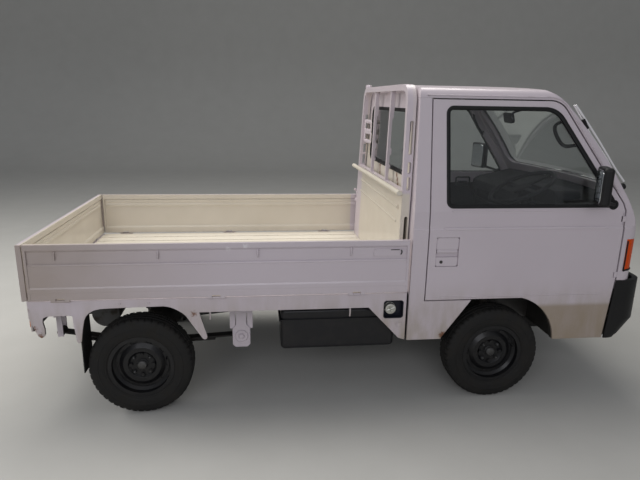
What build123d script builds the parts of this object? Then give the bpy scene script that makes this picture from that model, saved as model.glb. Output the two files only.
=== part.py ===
"""A cab-over kei truck with a drop-side bed, in millimetres.

+X is forward, +Y is the left side and +Z is up. The origin is on the ground, under the
middle of the truck. Each piece is one node, and like pieces on one body share a node.
"""

import os
from math import cos, radians, sin, tan

from build123d import *

os.makedirs("parts", exist_ok=True)

# Whole truck
overall_length = 3295
overall_width = 1395
front_overhang = 870.5
rear_overhang = 524.5
track = overall_width - 195

nose_x = overall_length / 2
tail_x = -overall_length / 2
side_y = overall_width / 2
front_axle_x = nose_x - front_overhang
rear_axle_x = tail_x + rear_overhang
wheel_y = track / 2

# Gaps between pieces
seat_gap = 0.3
pin_gap = 0.3
door_gap = 6
door_front_gap = 9
gate_gap = 6

# Wheels
tyre_radius = 265
tyre_width = 145
rim_flange_radius = 168
rim_well_radius = 140
rim_width = 122
rim_wall = 5
rim_disc_out = 22
drum_radius = 96
drum_width = 44
spindle_radius = 19
slot_count = 10
stud_count = 4
stud_circle = 114
axle_z = tyre_radius

# Cab shell
cab_back_x = nose_x - 1375.5
cab_back_lean = 20
roof_z = 1712
crown_z = 1690
roof_edge_round = 62
cab_bottom_z = 350
body_side_y = side_y - 1.5
waist_y = body_side_y - 8
drip_y = body_side_y - 92
crown_y = body_side_y - 156
waist_z = 1080
drip_z = 1646
cab_wall = 36
cowl_z = 1180
nose_face_x = nose_x - 67.5
plan_radius = 3870
plan_centre_x = nose_face_x - plan_radius
nose_corner_round = 70
ledge_y = body_side_y - 4
ledge_z = (994, 987)
tuck_z = 718
tuck_y = body_side_y - 8
seam_z = 1639

# Doors and windows, seen from the side
door_rear_x = cab_back_x + 86.5
door_front_x = nose_x - 228.5
door_foot_front_x = door_front_x - 22
door_top_z = 1633
door_low_z = 354
arch_top_z = 600
arch_front_x = front_axle_x + 324
arch_rear_x = front_axle_x - 312
arch_rear_z = 387
window_sill_z = 1108
window_top_z = 1592
window_rear_x = door_rear_x + 79.5
door_corner_round = 110
window_corner_round = 118
glass_depth = 9
glass_thick = 4
door_hinge_z = (726, 1036)
door_hinge_back = 4
door_hinge_in = 6
door_hinge_radius = 5
door_pin_radius = 2.6
door_hinge_half = 15
door_pin_half = 30
handle_rear_x = door_rear_x + 39.5
handle_front_x = handle_rear_x + 121
handle_low_z = 791
handle_top_z = 947
handle_recess = 14
trim_thick = 6
hinge_x = door_front_x - door_hinge_back
hinge_y = body_side_y - door_hinge_in

# Door mirrors
mirror_x = door_front_x - 204
mirror_y = body_side_y + 82
mirror_deep = 50
mirror_wide = 140
mirror_low_z = 1130
mirror_tall = 190
mirror_turn = 20
mirror_foot_x = door_front_x - 71
mirror_foot_z = 1112
mirror_foot_radius = 26

# Inside the cab
driver_y = -(body_side_y - 366)
dash_y = body_side_y - 60
steer_x = nose_face_x - 568
steer_z = 1150
column_tilt = 64
column_top_gap = 46
column_pin_radius = 9
steer_radius = 184
steer_rim = 12
seat_wide = 470
grille_slots = 4
plate_front_z = 500
plate_rear_z = 440

# Windscreen and rear window, seen from the front
screen_low_z = 1196
screen_top_z = 1606
screen_low_y = body_side_y - 90
screen_top_y = drip_y - 64
rear_window_low_z = 1240
rear_window_top_z = 1572
rear_window_y = body_side_y - 226
pillar_wiper_y = -(screen_low_y - 31)
foot_wiper_y = 330
# Each wiper's rods by the y of its pivot. Columns: start, end, radius
wiper_arms = {
    pillar_wiper_y: (
        ((nose_face_x - 122, pillar_wiper_y, 1168), (nose_face_x - 228, pillar_wiper_y, 1336), 5),
        ((nose_face_x - 228, pillar_wiper_y, 1336), (nose_face_x - 394, pillar_wiper_y, 1519), 5),
        ((nose_face_x - 286, pillar_wiper_y, 1392), (nose_face_x - 460, pillar_wiper_y, 1615), 4),
    ),
    foot_wiper_y: (
        ((nose_face_x - 94, foot_wiper_y, 1168), (nose_face_x - 114, foot_wiper_y - 430, 1199), 5),
        ((nose_face_x - 112, foot_wiper_y - 220, 1200), (nose_face_x - 125, foot_wiper_y - 660, 1200), 4),
    ),
}

# Cab floor, seat deck and inner arches
floor_z = 366
floor_thick = 13
deck_z = 606
riser_x = arch_front_x + 11
floor_front_x = nose_face_x - 80
arch_wall_y = track / 2 - 228

# Lamps, seen from the front
lamp_low_z = 748
lamp_top_z = 925
corner_lamp_x = nose_face_x - 127
head_lamp_x = nose_face_x - 80
corner_lamp_y = body_side_y - 92
head_lamp_y = corner_lamp_y - 212
grille_low_z = 790
grille_top_z = 898

# Bumper
bumper_top_z = 692
bumper_low_z = 354
bumper_corner = 102
bumper_wall = 26
bumper_rear_x = door_front_x + 8
bumper_chin_z = 464
bumper_tuck_x = 82
bumper_bow = 52
plate_proud = 5
bumper_gap = 3

# Bed
bed_front_x = cab_back_x - 10
bed_floor_z = 655
bed_floor_thick = 14
bed_floor_y = side_y - 33.5
joist_wide = 44
joist_x = (
    tail_x + 87.5,
    rear_axle_x - 207,
    rear_axle_x + 243,
    rear_axle_x + 523,
    rear_axle_x + 793,
    bed_front_x - 352,
    bed_front_x - 162,
)
gate_height = 279
gate_thick = 24
gate_low_z = 656
gate_top_z = gate_low_z + gate_height
skirt_y = side_y - 17.5
skirt_thick = 13
skirt_top_z = 646
skirt_low_z = 568
rear_panel_x = tail_x + 14
rear_panel_low_z = 486
tail_lamp_y = side_y - 149.5
tail_lamp_z = 545
tail_lamp_wide = 210
tail_lamp_tall = 92
tail_lamp_proud = 9
rib_tall = 4
rib_count = 12
rib_wide = 62
rib_pitch = 106
rib_end_gap = 8
fuel_x = bed_front_x - 68
fuel_z = 554
fuel_wide = 108
fuel_tall = 101
fuel_cap_x = fuel_x - 14
fuel_cap_radius = 29
filler_depth = 42
hinge_line_z = 650
hinge_line_in = 6.5
gate_knuckle_radius = 6
gate_pin_radius = 3
gate_knuckle_long = 36
gate_leaf_long = 26
gate_notch = 8
side_hinge_x = (tail_x + 175.5, (tail_x + bed_front_x) / 2 - 32.25, bed_front_x - 272)
tail_hinge_y = (-(side_y - 227.5), 0, side_y - 227.5)

# Guard frame behind the cab
guard_rear_x = cab_back_x - 60
guard_depth = 46
guard_lean = 1.5
guard_foot_y = side_y - 67.5
guard_shoulder_y = guard_foot_y - 20
guard_top_y = guard_foot_y - 64
guard_top_z = 1706
guard_bar = 32
mid_rail_z = 1172
mid_rail_tall = 26
bar_y = (-200, 200)
bar_wide = 24
guard_corner = 96
guard_panel_thick = 12
guard_slot_wide = 17

# Ladder frame
rail_y = track / 2 - 265
rail_wide = 56
rear_rail_low_z = 486
rear_rail_top_z = 588
front_rail_low_z = 284
front_rail_top_z = floor_z - floor_thick
bed_sill_low_z = rear_rail_top_z
rail_top_clear_z = front_rail_top_z + 6
rail_rear_x = tail_x + 41.5
rail_front_x = nose_face_x - 80
eye_y = 200
eye_drop = 26
eye_wide = 56
eye_thick = 12
eye_radius = 14

# Springs and axles
spring_y = track / 2 - 130
spring_wide = 50
spring_eye_radius = 20
spring_front_x = rear_axle_x + 512
spring_front_z = 352
spring_rear_x = rear_axle_x - 437
spring_rear_z = 400
steer_axis_y = track / 2 - 110
strut_radius = 20
hanger_in_y = spring_y - 32
hanger_out_y = spring_y + 36
hanger_foot_wide = 96
hanger_neck_wide = 56
hanger_channel_x = 62
hanger_drop = 66
ball_z = 168
ball_radius = 11

# Fuel tank
tank_rear_x = spring_front_x + 213
tank_front_x = cab_back_x - 48
tank_low_z = 306
tank_top_z = 540
tank_out_y = side_y - 91.5
tank_in_y = rail_y + rail_wide / 2 + 15


def save(piece, name):
    """Labels a finished piece and writes its file."""
    piece.label = name
    export_step(piece, f"parts/{name}.step")


def save_pair(piece, name):
    """Writes the right piece and its mirror image for the left side."""
    save(piece, f"{name}_right")
    save(mirror(piece, about=Plane.XZ), f"{name}_left")


def block(x0, x1, y0, y1, z0, z1, mode=Mode.ADD):
    """A box between two corners, for use inside a part block."""
    with Locations(((x0 + x1) / 2, (y0 + y1) / 2, (z0 + z1) / 2)):
        Box(abs(x1 - x0), abs(y1 - y0), abs(z1 - z0), mode=mode)


def rod(start, end, radius, mode=Mode.ADD):
    """A round bar from one point to another, for use inside a part block."""
    way = Vector(*end) - Vector(*start)
    with BuildSketch(Plane(origin=start, z_dir=way)) as base:
        Circle(radius)
    extrude(base.sketch, amount=way.length, mode=mode)


def polygon(points):
    """A flat outline with straight sides."""
    with BuildSketch() as outline:
        with BuildLine():
            Polyline(*points, close=True)
        make_face()
    return outline.sketch


def side_prism(outline, y0, y1, mode=Mode.ADD):
    """A side view made solid between two values of Y, for use inside a part block."""
    with BuildSketch(Plane.XZ.offset(-y0)) as base:
        add(outline)
    extrude(base.sketch, amount=y0 - y1, mode=mode)


def front_prism(outline, x0, x1, mode=Mode.ADD):
    """A front view made solid between two values of X, for use inside a part block."""
    with BuildSketch(Plane.YZ.offset(x0)) as base:
        add(outline)
    extrude(base.sketch, amount=x1 - x0, mode=mode)


# Cab form: the outer shape of the cab, or the same shape moved in by an inset

def cab_form(inset=0):
    """The cab's closed form, a revolved side profile cut by its front and back views."""
    half_angle = 18
    turn = radians(half_angle)
    start = Plane(
        origin=(plan_centre_x, 0, 0),
        x_dir=(cos(turn), -sin(turn), 0),
        z_dir=(-sin(turn), -cos(turn), 0),
    )
    low_z = cab_bottom_z if inset <= 0 else cab_bottom_z - 200
    back_x = cab_back_x + inset
    far_x = cab_back_x - 422
    top_z = roof_z - inset
    edge_round = roof_edge_round - inset
    tuck_slope = (body_side_y - tuck_y) / (tuck_z - cab_bottom_z)
    foot_y = body_side_y - tuck_slope * (tuck_z - low_z)

    def side(x, z, out_x, out_z):
        """A point of the side view, moved in along its own outward direction."""
        return (x - plan_centre_x - inset * out_x, z - inset * out_z)

    with BuildPart() as form:
        with BuildSketch(start):
            with BuildLine():
                roof = ThreePointArc(
                    side(nose_face_x - 980, roof_z + 3, 0, 1),
                    side(nose_face_x - 795, roof_z - 3, 0, 1),
                    side(nose_face_x - 615, roof_z - 13, 0.15, 0.99),
                )
                brow = ThreePointArc(
                    roof @ 1, side(nose_face_x - 518, 1664, 0.52, 0.85), side(nose_face_x - 450, 1612, 0.7, 0.71)
                )
                screen = ThreePointArc(
                    brow @ 1, side(nose_face_x - 268, 1404, 0.785, 0.62), side(nose_face_x - 110, cowl_z, 0.86, 0.51)
                )
                nose = ThreePointArc(
                    screen @ 1, side(nose_face_x - 35, 1036, 0.93, 0.36), side(nose_face_x, 890, 1, 0.1)
                )
                Polyline(
                    nose @ 1,
                    side(nose_face_x, 640, 1, 0),
                    (nose_face_x - 22 - inset - plan_centre_x, low_z),
                    (far_x - plan_centre_x, low_z),
                    (far_x - plan_centre_x, top_z + 3),
                    roof @ 0,
                )
            make_face()
        revolve(
            axis=Axis((plan_centre_x, 0, 0), (0, 0, 1)), revolution_arc=2 * half_angle
        )
        with BuildSketch(Plane.YZ.offset(far_x - 150)):
            with BuildLine():
                crown = ThreePointArc(
                    (-crown_y, crown_z - inset), (0, top_z), (crown_y, crown_z - inset)
                )
                left_edge = RadiusArc(crown @ 1, (drip_y - inset, drip_z), edge_round)
                left = [
                    (waist_y - inset, waist_z),
                    (ledge_y - inset, ledge_z[0]),
                    (body_side_y - inset, ledge_z[1]),
                    (body_side_y - inset, tuck_z),
                    (foot_y - inset, low_z),
                ]
                right = [(-y, z) for y, z in reversed(left)]
                Polyline(left_edge @ 1, *left, *right, (-drip_y + inset, drip_z))
                RadiusArc((-drip_y + inset, drip_z), crown @ 0, edge_round)
            make_face()
        extrude(amount=nose_x - far_x + 400, mode=Mode.INTERSECT)
        with BuildSketch(Plane.XZ.offset(-side_y - 100)):
            with BuildLine():
                lower = Line((back_x, low_z - 50), (back_x, ledge_z[1]))
                lean = Line(lower @ 1, (back_x + cab_back_lean, top_z - edge_round))
                brink = RadiusArc(
                    lean @ 1, (back_x + cab_back_lean + edge_round, top_z + 1), edge_round + 1
                )
                Polyline(
                    brink @ 1,
                    (nose_x + 250, top_z + 1),
                    (nose_x + 250, low_z - 50),
                    (back_x, low_z - 50),
                )
            make_face()
        extrude(amount=2 * side_y + 200, mode=Mode.INTERSECT)
        with BuildSketch(Plane.XY.offset(low_z - 20)):
            half = body_side_y - inset
            reach = plan_radius + 0.3 - inset
            corner_x = plan_centre_x + (reach**2 - half**2) ** 0.5
            with BuildLine():
                ThreePointArc(
                    (corner_x, -half), (plan_centre_x + reach, 0), (corner_x, half)
                )
                Polyline((corner_x, half), (far_x, half), (far_x, -half), (corner_x, -half))
            plan = make_face()
            fillet(plan.vertices().sort_by(Axis.X)[-2:], nose_corner_round - inset)
        extrude(amount=top_z + 40 - low_z, mode=Mode.INTERSECT)
    return form.part


def door_outline(grow=0, grow_front=0):
    """Side view of a door, with the wheel arch cut from its foot."""
    foot_rear_x = arch_front_x + 5 - grow
    top_z = door_top_z + grow
    rear_x = door_rear_x - grow
    front_x = door_front_x + grow_front
    bend_x = door_front_x - 389
    low_z = door_low_z - grow
    with BuildSketch() as outline:
        with BuildLine():
            Polyline(
                (rear_x, arch_top_z + 6 - grow),
                (rear_x, top_z),
                (bend_x + grow, top_z),
                (front_x - 15, 1118),
                (front_x, 1080),
                (front_x, bumper_top_z),
                (door_foot_front_x + grow_front, low_z),
                (foot_rear_x, low_z),
            )
            ThreePointArc(
                (foot_rear_x, low_z),
                (front_axle_x + 269 - grow, 508 - grow),
                (front_axle_x + 118, arch_top_z + 6 - grow),
            )
            Line((front_axle_x + 118, arch_top_z + 6 - grow), (rear_x, arch_top_z + 6 - grow))
        make_face()
        corner = outline.vertices().sort_by_distance((bend_x + grow, top_z, 0))[0]
        fillet(corner, door_corner_round + grow)
    return outline.sketch


def arch_outline():
    """Side view of the opening over a front wheel."""
    with BuildSketch() as outline:
        with BuildLine():
            Polyline(
                (arch_front_x, cab_bottom_z - 20),
                (arch_rear_x - 3, cab_bottom_z - 20),
                (arch_rear_x - 3, arch_rear_z),
                (arch_rear_x + 147, arch_top_z),
                (front_axle_x + 113, arch_top_z),
            )
            ThreePointArc(
                (front_axle_x + 113, arch_top_z),
                (front_axle_x + 265, 505),
                (arch_front_x, cab_bottom_z - 20),
            )
        make_face()
    return outline.sketch


def window_outline(grow=0):
    """Side view of a door's window opening."""
    with BuildSketch() as outline:
        with BuildLine():
            Polyline(
                (window_rear_x + 14, window_sill_z),
                (window_rear_x, window_top_z),
                (door_front_x - 409, window_top_z),
                (door_front_x - 79, 1140),
                (door_front_x - 63, window_sill_z),
                close=True,
            )
        make_face()
        by_x = outline.vertices().sort_by(Axis.X)
        fillet(by_x[2], window_corner_round)
        fillet(outline.vertices().sort_by(Axis.X)[:2], 26)
        if grow:
            offset(amount=grow, kind=Kind.INTERSECTION)
    return outline.sketch


def screen_outline(grow=0):
    """Front view of the windscreen opening."""
    outline = polygon(
        [
            (-screen_low_y, screen_low_z),
            (-screen_top_y, screen_top_z),
            (screen_top_y, screen_top_z),
            (screen_low_y, screen_low_z),
        ]
    )
    with BuildSketch() as rounded:
        add(outline)
        fillet(rounded.vertices(), 60)
        if grow:
            offset(amount=grow, kind=Kind.INTERSECTION)
    return rounded.sketch


def rear_window_outline(grow=0):
    """Back view of the rear window opening."""
    with BuildSketch() as outline:
        with Locations((0, (rear_window_low_z + rear_window_top_z) / 2)):
            RectangleRounded(
                2 * rear_window_y, rear_window_top_z - rear_window_low_z, 45
            )
        if grow:
            offset(amount=grow, kind=Kind.INTERSECTION)
    return outline.sketch


outer = cab_form()
inner = cab_form(cab_wall)
lining = cab_form(cab_wall + seat_gap)
with BuildPart() as shell:
    add(outer)
    add(inner, mode=Mode.SUBTRACT)
with BuildPart() as glass_layer:
    add(cab_form(glass_depth))
    add(cab_form(glass_depth + glass_thick), mode=Mode.SUBTRACT)

beyond_y = body_side_y + 60
glass_fit = -seat_gap

# Cab back panel with the rear pillars and the rear lower corners
with BuildPart() as cab_back:
    add(shell.part)
    back_region = polygon(
        [
            (cab_back_x - 72, cab_bottom_z - 20),
            (arch_rear_x + 180, cab_bottom_z - 20),
            (arch_rear_x + 180, arch_top_z),
            (door_rear_x - door_gap, arch_top_z),
            (door_rear_x - door_gap, seam_z),
            (cab_back_x - 72, seam_z),
        ]
    )
    side_prism(back_region, -beyond_y, beyond_y, mode=Mode.INTERSECT)
    side_prism(arch_outline(), -beyond_y, beyond_y, mode=Mode.SUBTRACT)
    front_prism(rear_window_outline(), cab_back_x - 30, cab_back_x + 80, mode=Mode.SUBTRACT)
    cab_rear_low_z = arch_rear_z - 8
    block(cab_back_x - 72, cab_back_x + 428, -beyond_y, beyond_y, 300, cab_rear_low_z, mode=Mode.SUBTRACT)
    tunnel_y = arch_wall_y + 8
    block(cab_back_x - 72, cab_back_x + 428, -tunnel_y, tunnel_y, 300, deck_z - floor_thick, mode=Mode.SUBTRACT)
save(cab_back.part, "cab_back")

# Cab roof with its front brow
with BuildPart() as cab_roof:
    add(shell.part)
    block(cab_back_x - 72, nose_x + 50, -beyond_y, beyond_y, seam_z, roof_z + 20, mode=Mode.INTERSECT)
save(cab_roof.part, "cab_roof")

# Cab front: nose, screen pillars and the strips in front of the doors
def bumper_plan(inset, rear_x, tuck=0):
    """The bumper's plan back to a value of X, moved in by an inset or tucked under."""
    corner = bumper_corner - inset
    half = side_y - inset
    face_x = nose_x - plate_proud - inset - tuck * bumper_tuck_x
    with BuildSketch() as plan:
        with BuildLine():
            Polyline(
                (face_x - bumper_bow, half),
                (rear_x, half),
                (rear_x, -half),
                (face_x - bumper_bow, -half),
            )
            ThreePointArc((face_x - bumper_bow, -half), (face_x, 0), (face_x - bumper_bow, half))
        make_face()
        fillet(plan.vertices().sort_by(Axis.X)[-2:], corner)
    return plan.sketch


def plan_prism(outline, z0, z1, mode=Mode.ADD):
    """A plan made solid between two heights, for use inside a part block."""
    with BuildSketch(Plane.XY.offset(z0)) as base:
        add(outline)
    extrude(base.sketch, amount=z1 - z0, mode=mode)


def bumper_form(inset, top_z=bumper_top_z):
    """The bumper as a solid block, upright above its chin and tucked under below it."""
    rear_x = bumper_rear_x - 60
    with BuildPart() as form:
        plan_prism(bumper_plan(inset, rear_x), bumper_chin_z, top_z)
        for z, tuck in ((bumper_chin_z, 0), (bumper_low_z, 1)):
            with BuildSketch(Plane.XY.offset(z)):
                add(bumper_plan(inset, rear_x, tuck))
        loft(ruled=True)
    return form.part


def bumper_side(rear_x):
    """Side view of the bumper, its rear edge beside the door's front edge."""
    slope = (door_front_x - door_foot_front_x) / (bumper_top_z - door_low_z)
    low_z = bumper_low_z - 60
    foot_x = rear_x - slope * (bumper_top_z - low_z)
    top_z = bumper_top_z + bumper_gap
    far_x = nose_x + 150
    return polygon([(foot_x, low_z), (rear_x, bumper_top_z), (rear_x, top_z), (far_x, top_z), (far_x, low_z)])


with BuildPart() as bumper_room:
    side_prism(bumper_side(bumper_rear_x - 4), -beyond_y, beyond_y)
    room_top_z = bumper_top_z + bumper_gap
    add(bumper_form(bumper_wall + bumper_gap, room_top_z), mode=Mode.SUBTRACT)
    nose_low_z = bumper_low_z + 20
    block(bumper_rear_x - 40, nose_x, -beyond_y, beyond_y, bumper_low_z - 60, nose_low_z)

with BuildPart() as cab_front:
    add(shell.part)
    front_region = polygon(
        [
            (door_rear_x - door_gap, seam_z),
            (nose_x + 150, seam_z),
            (nose_x + 150, cab_bottom_z - 10),
            (arch_front_x, cab_bottom_z - 10),
            (arch_front_x, arch_top_z),
            (door_rear_x - door_gap, arch_top_z),
        ]
    )
    side_prism(front_region, -beyond_y, beyond_y, mode=Mode.INTERSECT)
    side_prism(
        door_outline(door_gap, door_front_gap), -beyond_y, beyond_y, mode=Mode.SUBTRACT
    )
    side_prism(arch_outline(), -beyond_y, beyond_y, mode=Mode.SUBTRACT)
    front_prism(screen_outline(), nose_face_x - 680, nose_face_x - 20, mode=Mode.SUBTRACT)
    add(bumper_room.part, mode=Mode.SUBTRACT)
    for y0, y1, z0, z1, rear_x in (
        (corner_lamp_y, beyond_y, lamp_low_z, lamp_top_z, corner_lamp_x),
        (head_lamp_y, corner_lamp_y, lamp_low_z, lamp_top_z, head_lamp_x),
        (0, head_lamp_y, grille_low_z, grille_top_z, head_lamp_x),
    ):
        block(rear_x, nose_x + 50, y0, y1, z0, z1, mode=Mode.SUBTRACT)
        block(rear_x, nose_x + 50, -y1, -y0, z0, z1, mode=Mode.SUBTRACT)
    for hinge_z in door_hinge_z:
        for side in (-1, 1):
            block(
                hinge_x,
                door_front_x + door_front_gap + 1,
                side * (hinge_y - door_hinge_radius),
                side * (hinge_y + door_hinge_radius),
                hinge_z - door_hinge_half,
                hinge_z + door_hinge_half,
            )
            rod(
                (hinge_x, side * hinge_y, hinge_z - door_hinge_half),
                (hinge_x, side * hinge_y, hinge_z + door_hinge_half),
                door_hinge_radius,
            )
            rod(
                (hinge_x, side * hinge_y, hinge_z - door_pin_half),
                (hinge_x, side * hinge_y, hinge_z + door_pin_half),
                door_pin_radius,
            )
save(cab_front.part, "cab_front")

# Windscreen and rear window, set in their openings
with BuildPart() as windscreen:
    add(glass_layer.part)
    front_prism(screen_outline(glass_fit), nose_face_x - 680, nose_face_x - 20, mode=Mode.INTERSECT)
save(windscreen.part, "windscreen")

with BuildPart() as rear_window:
    add(glass_layer.part)
    front_prism(
        rear_window_outline(glass_fit), cab_back_x - 30, cab_back_x + 80, mode=Mode.INTERSECT
    )
save(rear_window.part, "rear_window")

# Doors: panel with its window frame, glass and inner trim
with BuildPart() as door_panel:
    add(shell.part)
    side_prism(door_outline(), -beyond_y, -450, mode=Mode.INTERSECT)
    side_prism(window_outline(), -beyond_y, -450, mode=Mode.SUBTRACT)
    block(
        handle_rear_x,
        handle_front_x,
        -beyond_y,
        -body_side_y + handle_recess,
        handle_low_z,
        handle_top_z,
        mode=Mode.SUBTRACT,
    )
    block(
        handle_rear_x + 8,
        handle_front_x - 8,
        -body_side_y + 4,
        -body_side_y + handle_recess + 1,
        handle_low_z + 70,
        handle_top_z - 8,
    )
    for hinge_z in door_hinge_z:
        notch = door_hinge_half + pin_gap
        block(
            hinge_x - door_hinge_radius - 6,
            door_front_x + 1,
            -body_side_y - 1,
            -body_side_y + cab_wall + 1,
            hinge_z - notch,
            hinge_z + notch,
            mode=Mode.SUBTRACT,
        )
        rod(
            (hinge_x, -hinge_y, hinge_z - door_pin_half - 2),
            (hinge_x, -hinge_y, hinge_z + door_pin_half + 2),
            door_pin_radius + pin_gap,
            mode=Mode.SUBTRACT,
        )
save_pair(door_panel.part, "door_panel")

with BuildPart() as door_glass:
    add(glass_layer.part)
    side_prism(window_outline(glass_fit), -beyond_y, -450, mode=Mode.INTERSECT)
save_pair(door_glass.part, "door_glass")

trim_face_y = body_side_y - cab_wall
with BuildPart() as door_trim:
    trim_view = polygon(
        [
            (door_rear_x + 40, arch_top_z + 50),
            (door_rear_x + 40, window_sill_z - 26),
            (door_front_x - 76, window_sill_z - 26),
            (door_front_x - 60, bumper_top_z - 60),
            (arch_front_x + 60, bumper_top_z - 60),
            (arch_front_x - 40, arch_top_z + 50),
        ]
    )
    side_prism(trim_view, -trim_face_y, -trim_face_y + trim_thick)
    block(
        door_rear_x + 260,
        door_rear_x + 560,
        -trim_face_y + trim_thick,
        -trim_face_y + trim_thick + 34,
        900,
        935,
    )
    add(lining, mode=Mode.INTERSECT)
save_pair(door_trim.part, "door_trim")

# Door mirrors: an arm from the door's front corner and a tall housing
with BuildPart() as door_mirror:
    turn = radians(mirror_turn)
    housing = Plane(
        origin=(mirror_x, -mirror_y, mirror_low_z),
        x_dir=(cos(turn), -sin(turn), 0),
        z_dir=(0, 0, 1),
    )
    with BuildSketch(housing):
        RectangleRounded(mirror_deep, mirror_wide, 18)
    extrude(amount=mirror_tall)
    fillet(door_mirror.edges().group_by(Axis.Z)[-1], 14)
    fillet(door_mirror.edges().group_by(Axis.Z)[0], 14)
    foot = (mirror_foot_x, -body_side_y + 6, mirror_foot_z)
    rod((mirror_x, -mirror_y + 20, mirror_low_z + 22), foot, 9)
    rod((mirror_foot_x, -body_side_y + 40, mirror_foot_z), foot, mirror_foot_radius)
    add(outer, mode=Mode.SUBTRACT)
save_pair(door_mirror.part, "door_mirror")

# Cab floor: footwell, riser, seat deck and the walls inside the front arches
floor_edge_y = body_side_y - cab_wall - door_gap
deck_under_z = deck_z - floor_thick
with BuildPart() as cab_floor:
    floor_view = polygon(
        [
            (cab_back_x + cab_wall, deck_under_z),
            (cab_back_x + cab_wall, deck_z),
            (riser_x + floor_thick, deck_z),
            (riser_x + floor_thick, floor_z),
            (floor_front_x, floor_z),
            (floor_front_x, floor_z - floor_thick),
            (riser_x, floor_z - floor_thick),
            (riser_x, deck_under_z),
        ]
    )
    side_prism(floor_view, -floor_edge_y, floor_edge_y)
    add(lining, mode=Mode.INTERSECT)
    for side in (-1, 1):
        block(
            arch_rear_x + 20,
            riser_x,
            side * arch_wall_y,
            side * (arch_wall_y - 6),
            rail_top_clear_z,
            deck_under_z,
        )
save(cab_floor.part, "cab_floor")

# Lamps and grille, each the piece of the cab wall that its opening leaves out
# Columns: name, nearest y, farthest y, low z, top z, rear x
for name, y0, y1, z0, z1, rear_x in (
    ("corner_lamps", corner_lamp_y, beyond_y, lamp_low_z, lamp_top_z, corner_lamp_x),
    ("headlamps", head_lamp_y, corner_lamp_y, lamp_low_z, lamp_top_z, head_lamp_x),
):
    with BuildPart() as lamps:
        block(rear_x, nose_x + 50, y0, y1, z0, z1)
        block(rear_x, nose_x + 50, -y1, -y0, z0, z1)
        add(shell.part, mode=Mode.INTERSECT)
    save(lamps.part, name)

with BuildPart() as grille:
    block(head_lamp_x, nose_x + 50, -head_lamp_y, head_lamp_y, grille_low_z, grille_top_z)
    add(shell.part, mode=Mode.INTERSECT)
    slot_pitch = (grille_top_z - grille_low_z) / (grille_slots + 0.5)
    for k in range(grille_slots):
        slot_z = grille_low_z + (k + 0.75) * slot_pitch
        half = slot_pitch * 0.27
        for y0, y1 in ((-head_lamp_y + 16, -70), (70, head_lamp_y - 16)):
            block(nose_face_x - 16, nose_x + 50, y0, y1, slot_z - half, slot_z + half, mode=Mode.SUBTRACT)
save(grille.part, "grille")

# Front bumper, seated on two pads against the nose
with BuildPart() as front_bumper:
    add(bumper_form(0))
    add(bumper_form(bumper_wall), mode=Mode.SUBTRACT)
    side_prism(bumper_side(bumper_rear_x), -beyond_y, beyond_y, mode=Mode.INTERSECT)
    for y in (-rail_y, rail_y):
        block(head_lamp_x, nose_x - bumper_wall - 20, y - 30, y + 30, 540, 610)
    add(outer, mode=Mode.SUBTRACT)
save(front_bumper.part, "front_bumper")

# Blank number plates
with BuildPart() as number_plates:
    block(nose_x - 2, nose_x, -165, 165, plate_front_z, plate_front_z + 165)
    for y in (-105, 105):
        rod(
            (nose_x - plate_proud - 1, y, plate_front_z + 140),
            (nose_x - 1, y, plate_front_z + 140),
            5,
        )
    plate_rear_x = rear_panel_x - 4
    block(plate_rear_x, plate_rear_x + 2, -165, 165, plate_rear_z, plate_rear_z + 165)
    for y in (-105, 105):
        bolt_z = plate_rear_z + 140
        rod((plate_rear_x - 3, y, bolt_z), (rear_panel_x, y, bolt_z), 5)
save(number_plates.part, "number_plates")

# Steering column and steering wheel
steer_tilt = radians(column_tilt)
steer_axis = Vector(-cos(steer_tilt), 0, sin(steer_tilt))
steer_centre = Vector(steer_x, driver_y, steer_z)


def along_column(distance):
    """A point on the steering column's axis, measured up from the steering wheel."""
    point = steer_centre + steer_axis * distance
    return (point.X, point.Y, point.Z)


column_reach = (steer_z - floor_z - 12) / sin(steer_tilt)
with BuildPart() as steering_column:
    rod(along_column(-column_reach), along_column(-column_top_gap), 17)
    rod(along_column(-210), along_column(-column_top_gap), 33)
    rod(along_column(-column_top_gap - 1), along_column(-12), column_pin_radius)
    with BuildSketch(Plane.XY.offset(floor_z)):
        with Locations(along_column(-column_reach)[:2]):
            Rectangle(90, 90)
    extrude(amount=8)
    for side in (-1, 1):
        rod(
            along_column(-90),
            tuple(Vector(*along_column(-90)) + Vector(20, side * 150, 0)),
            5,
        )
save(steering_column.part, "steering_column")

# Dashboard with an instrument hood over the steering column
with BuildPart() as dashboard:
    dash_view = polygon(
        [
            (nose_face_x - 438, 868),
            (nose_face_x - 468, 1010),
            (nose_face_x - 456, 1062),
            (nose_face_x - 412, 1088),
            (nose_face_x - 250, 1122),
            (nose_face_x - 130, 1150),
            (nose_face_x - 50, 1000),
            (nose_face_x - 100, 868),
        ]
    )
    side_prism(dash_view, -dash_y, dash_y)
    with BuildSketch(Plane.YZ.offset(nose_face_x - 450)):
        with Locations((driver_y, 1090)):
            RectangleRounded(330, 120, 34)
    extrude(amount=150)
    add(lining, mode=Mode.INTERSECT)
    block(nose_face_x - 480, nose_face_x - 430, driver_y + 314, dash_y - 40, 930, 1000, mode=Mode.SUBTRACT)
    add(steering_column.part, mode=Mode.SUBTRACT)
save(dashboard.part, "dashboard")

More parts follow.
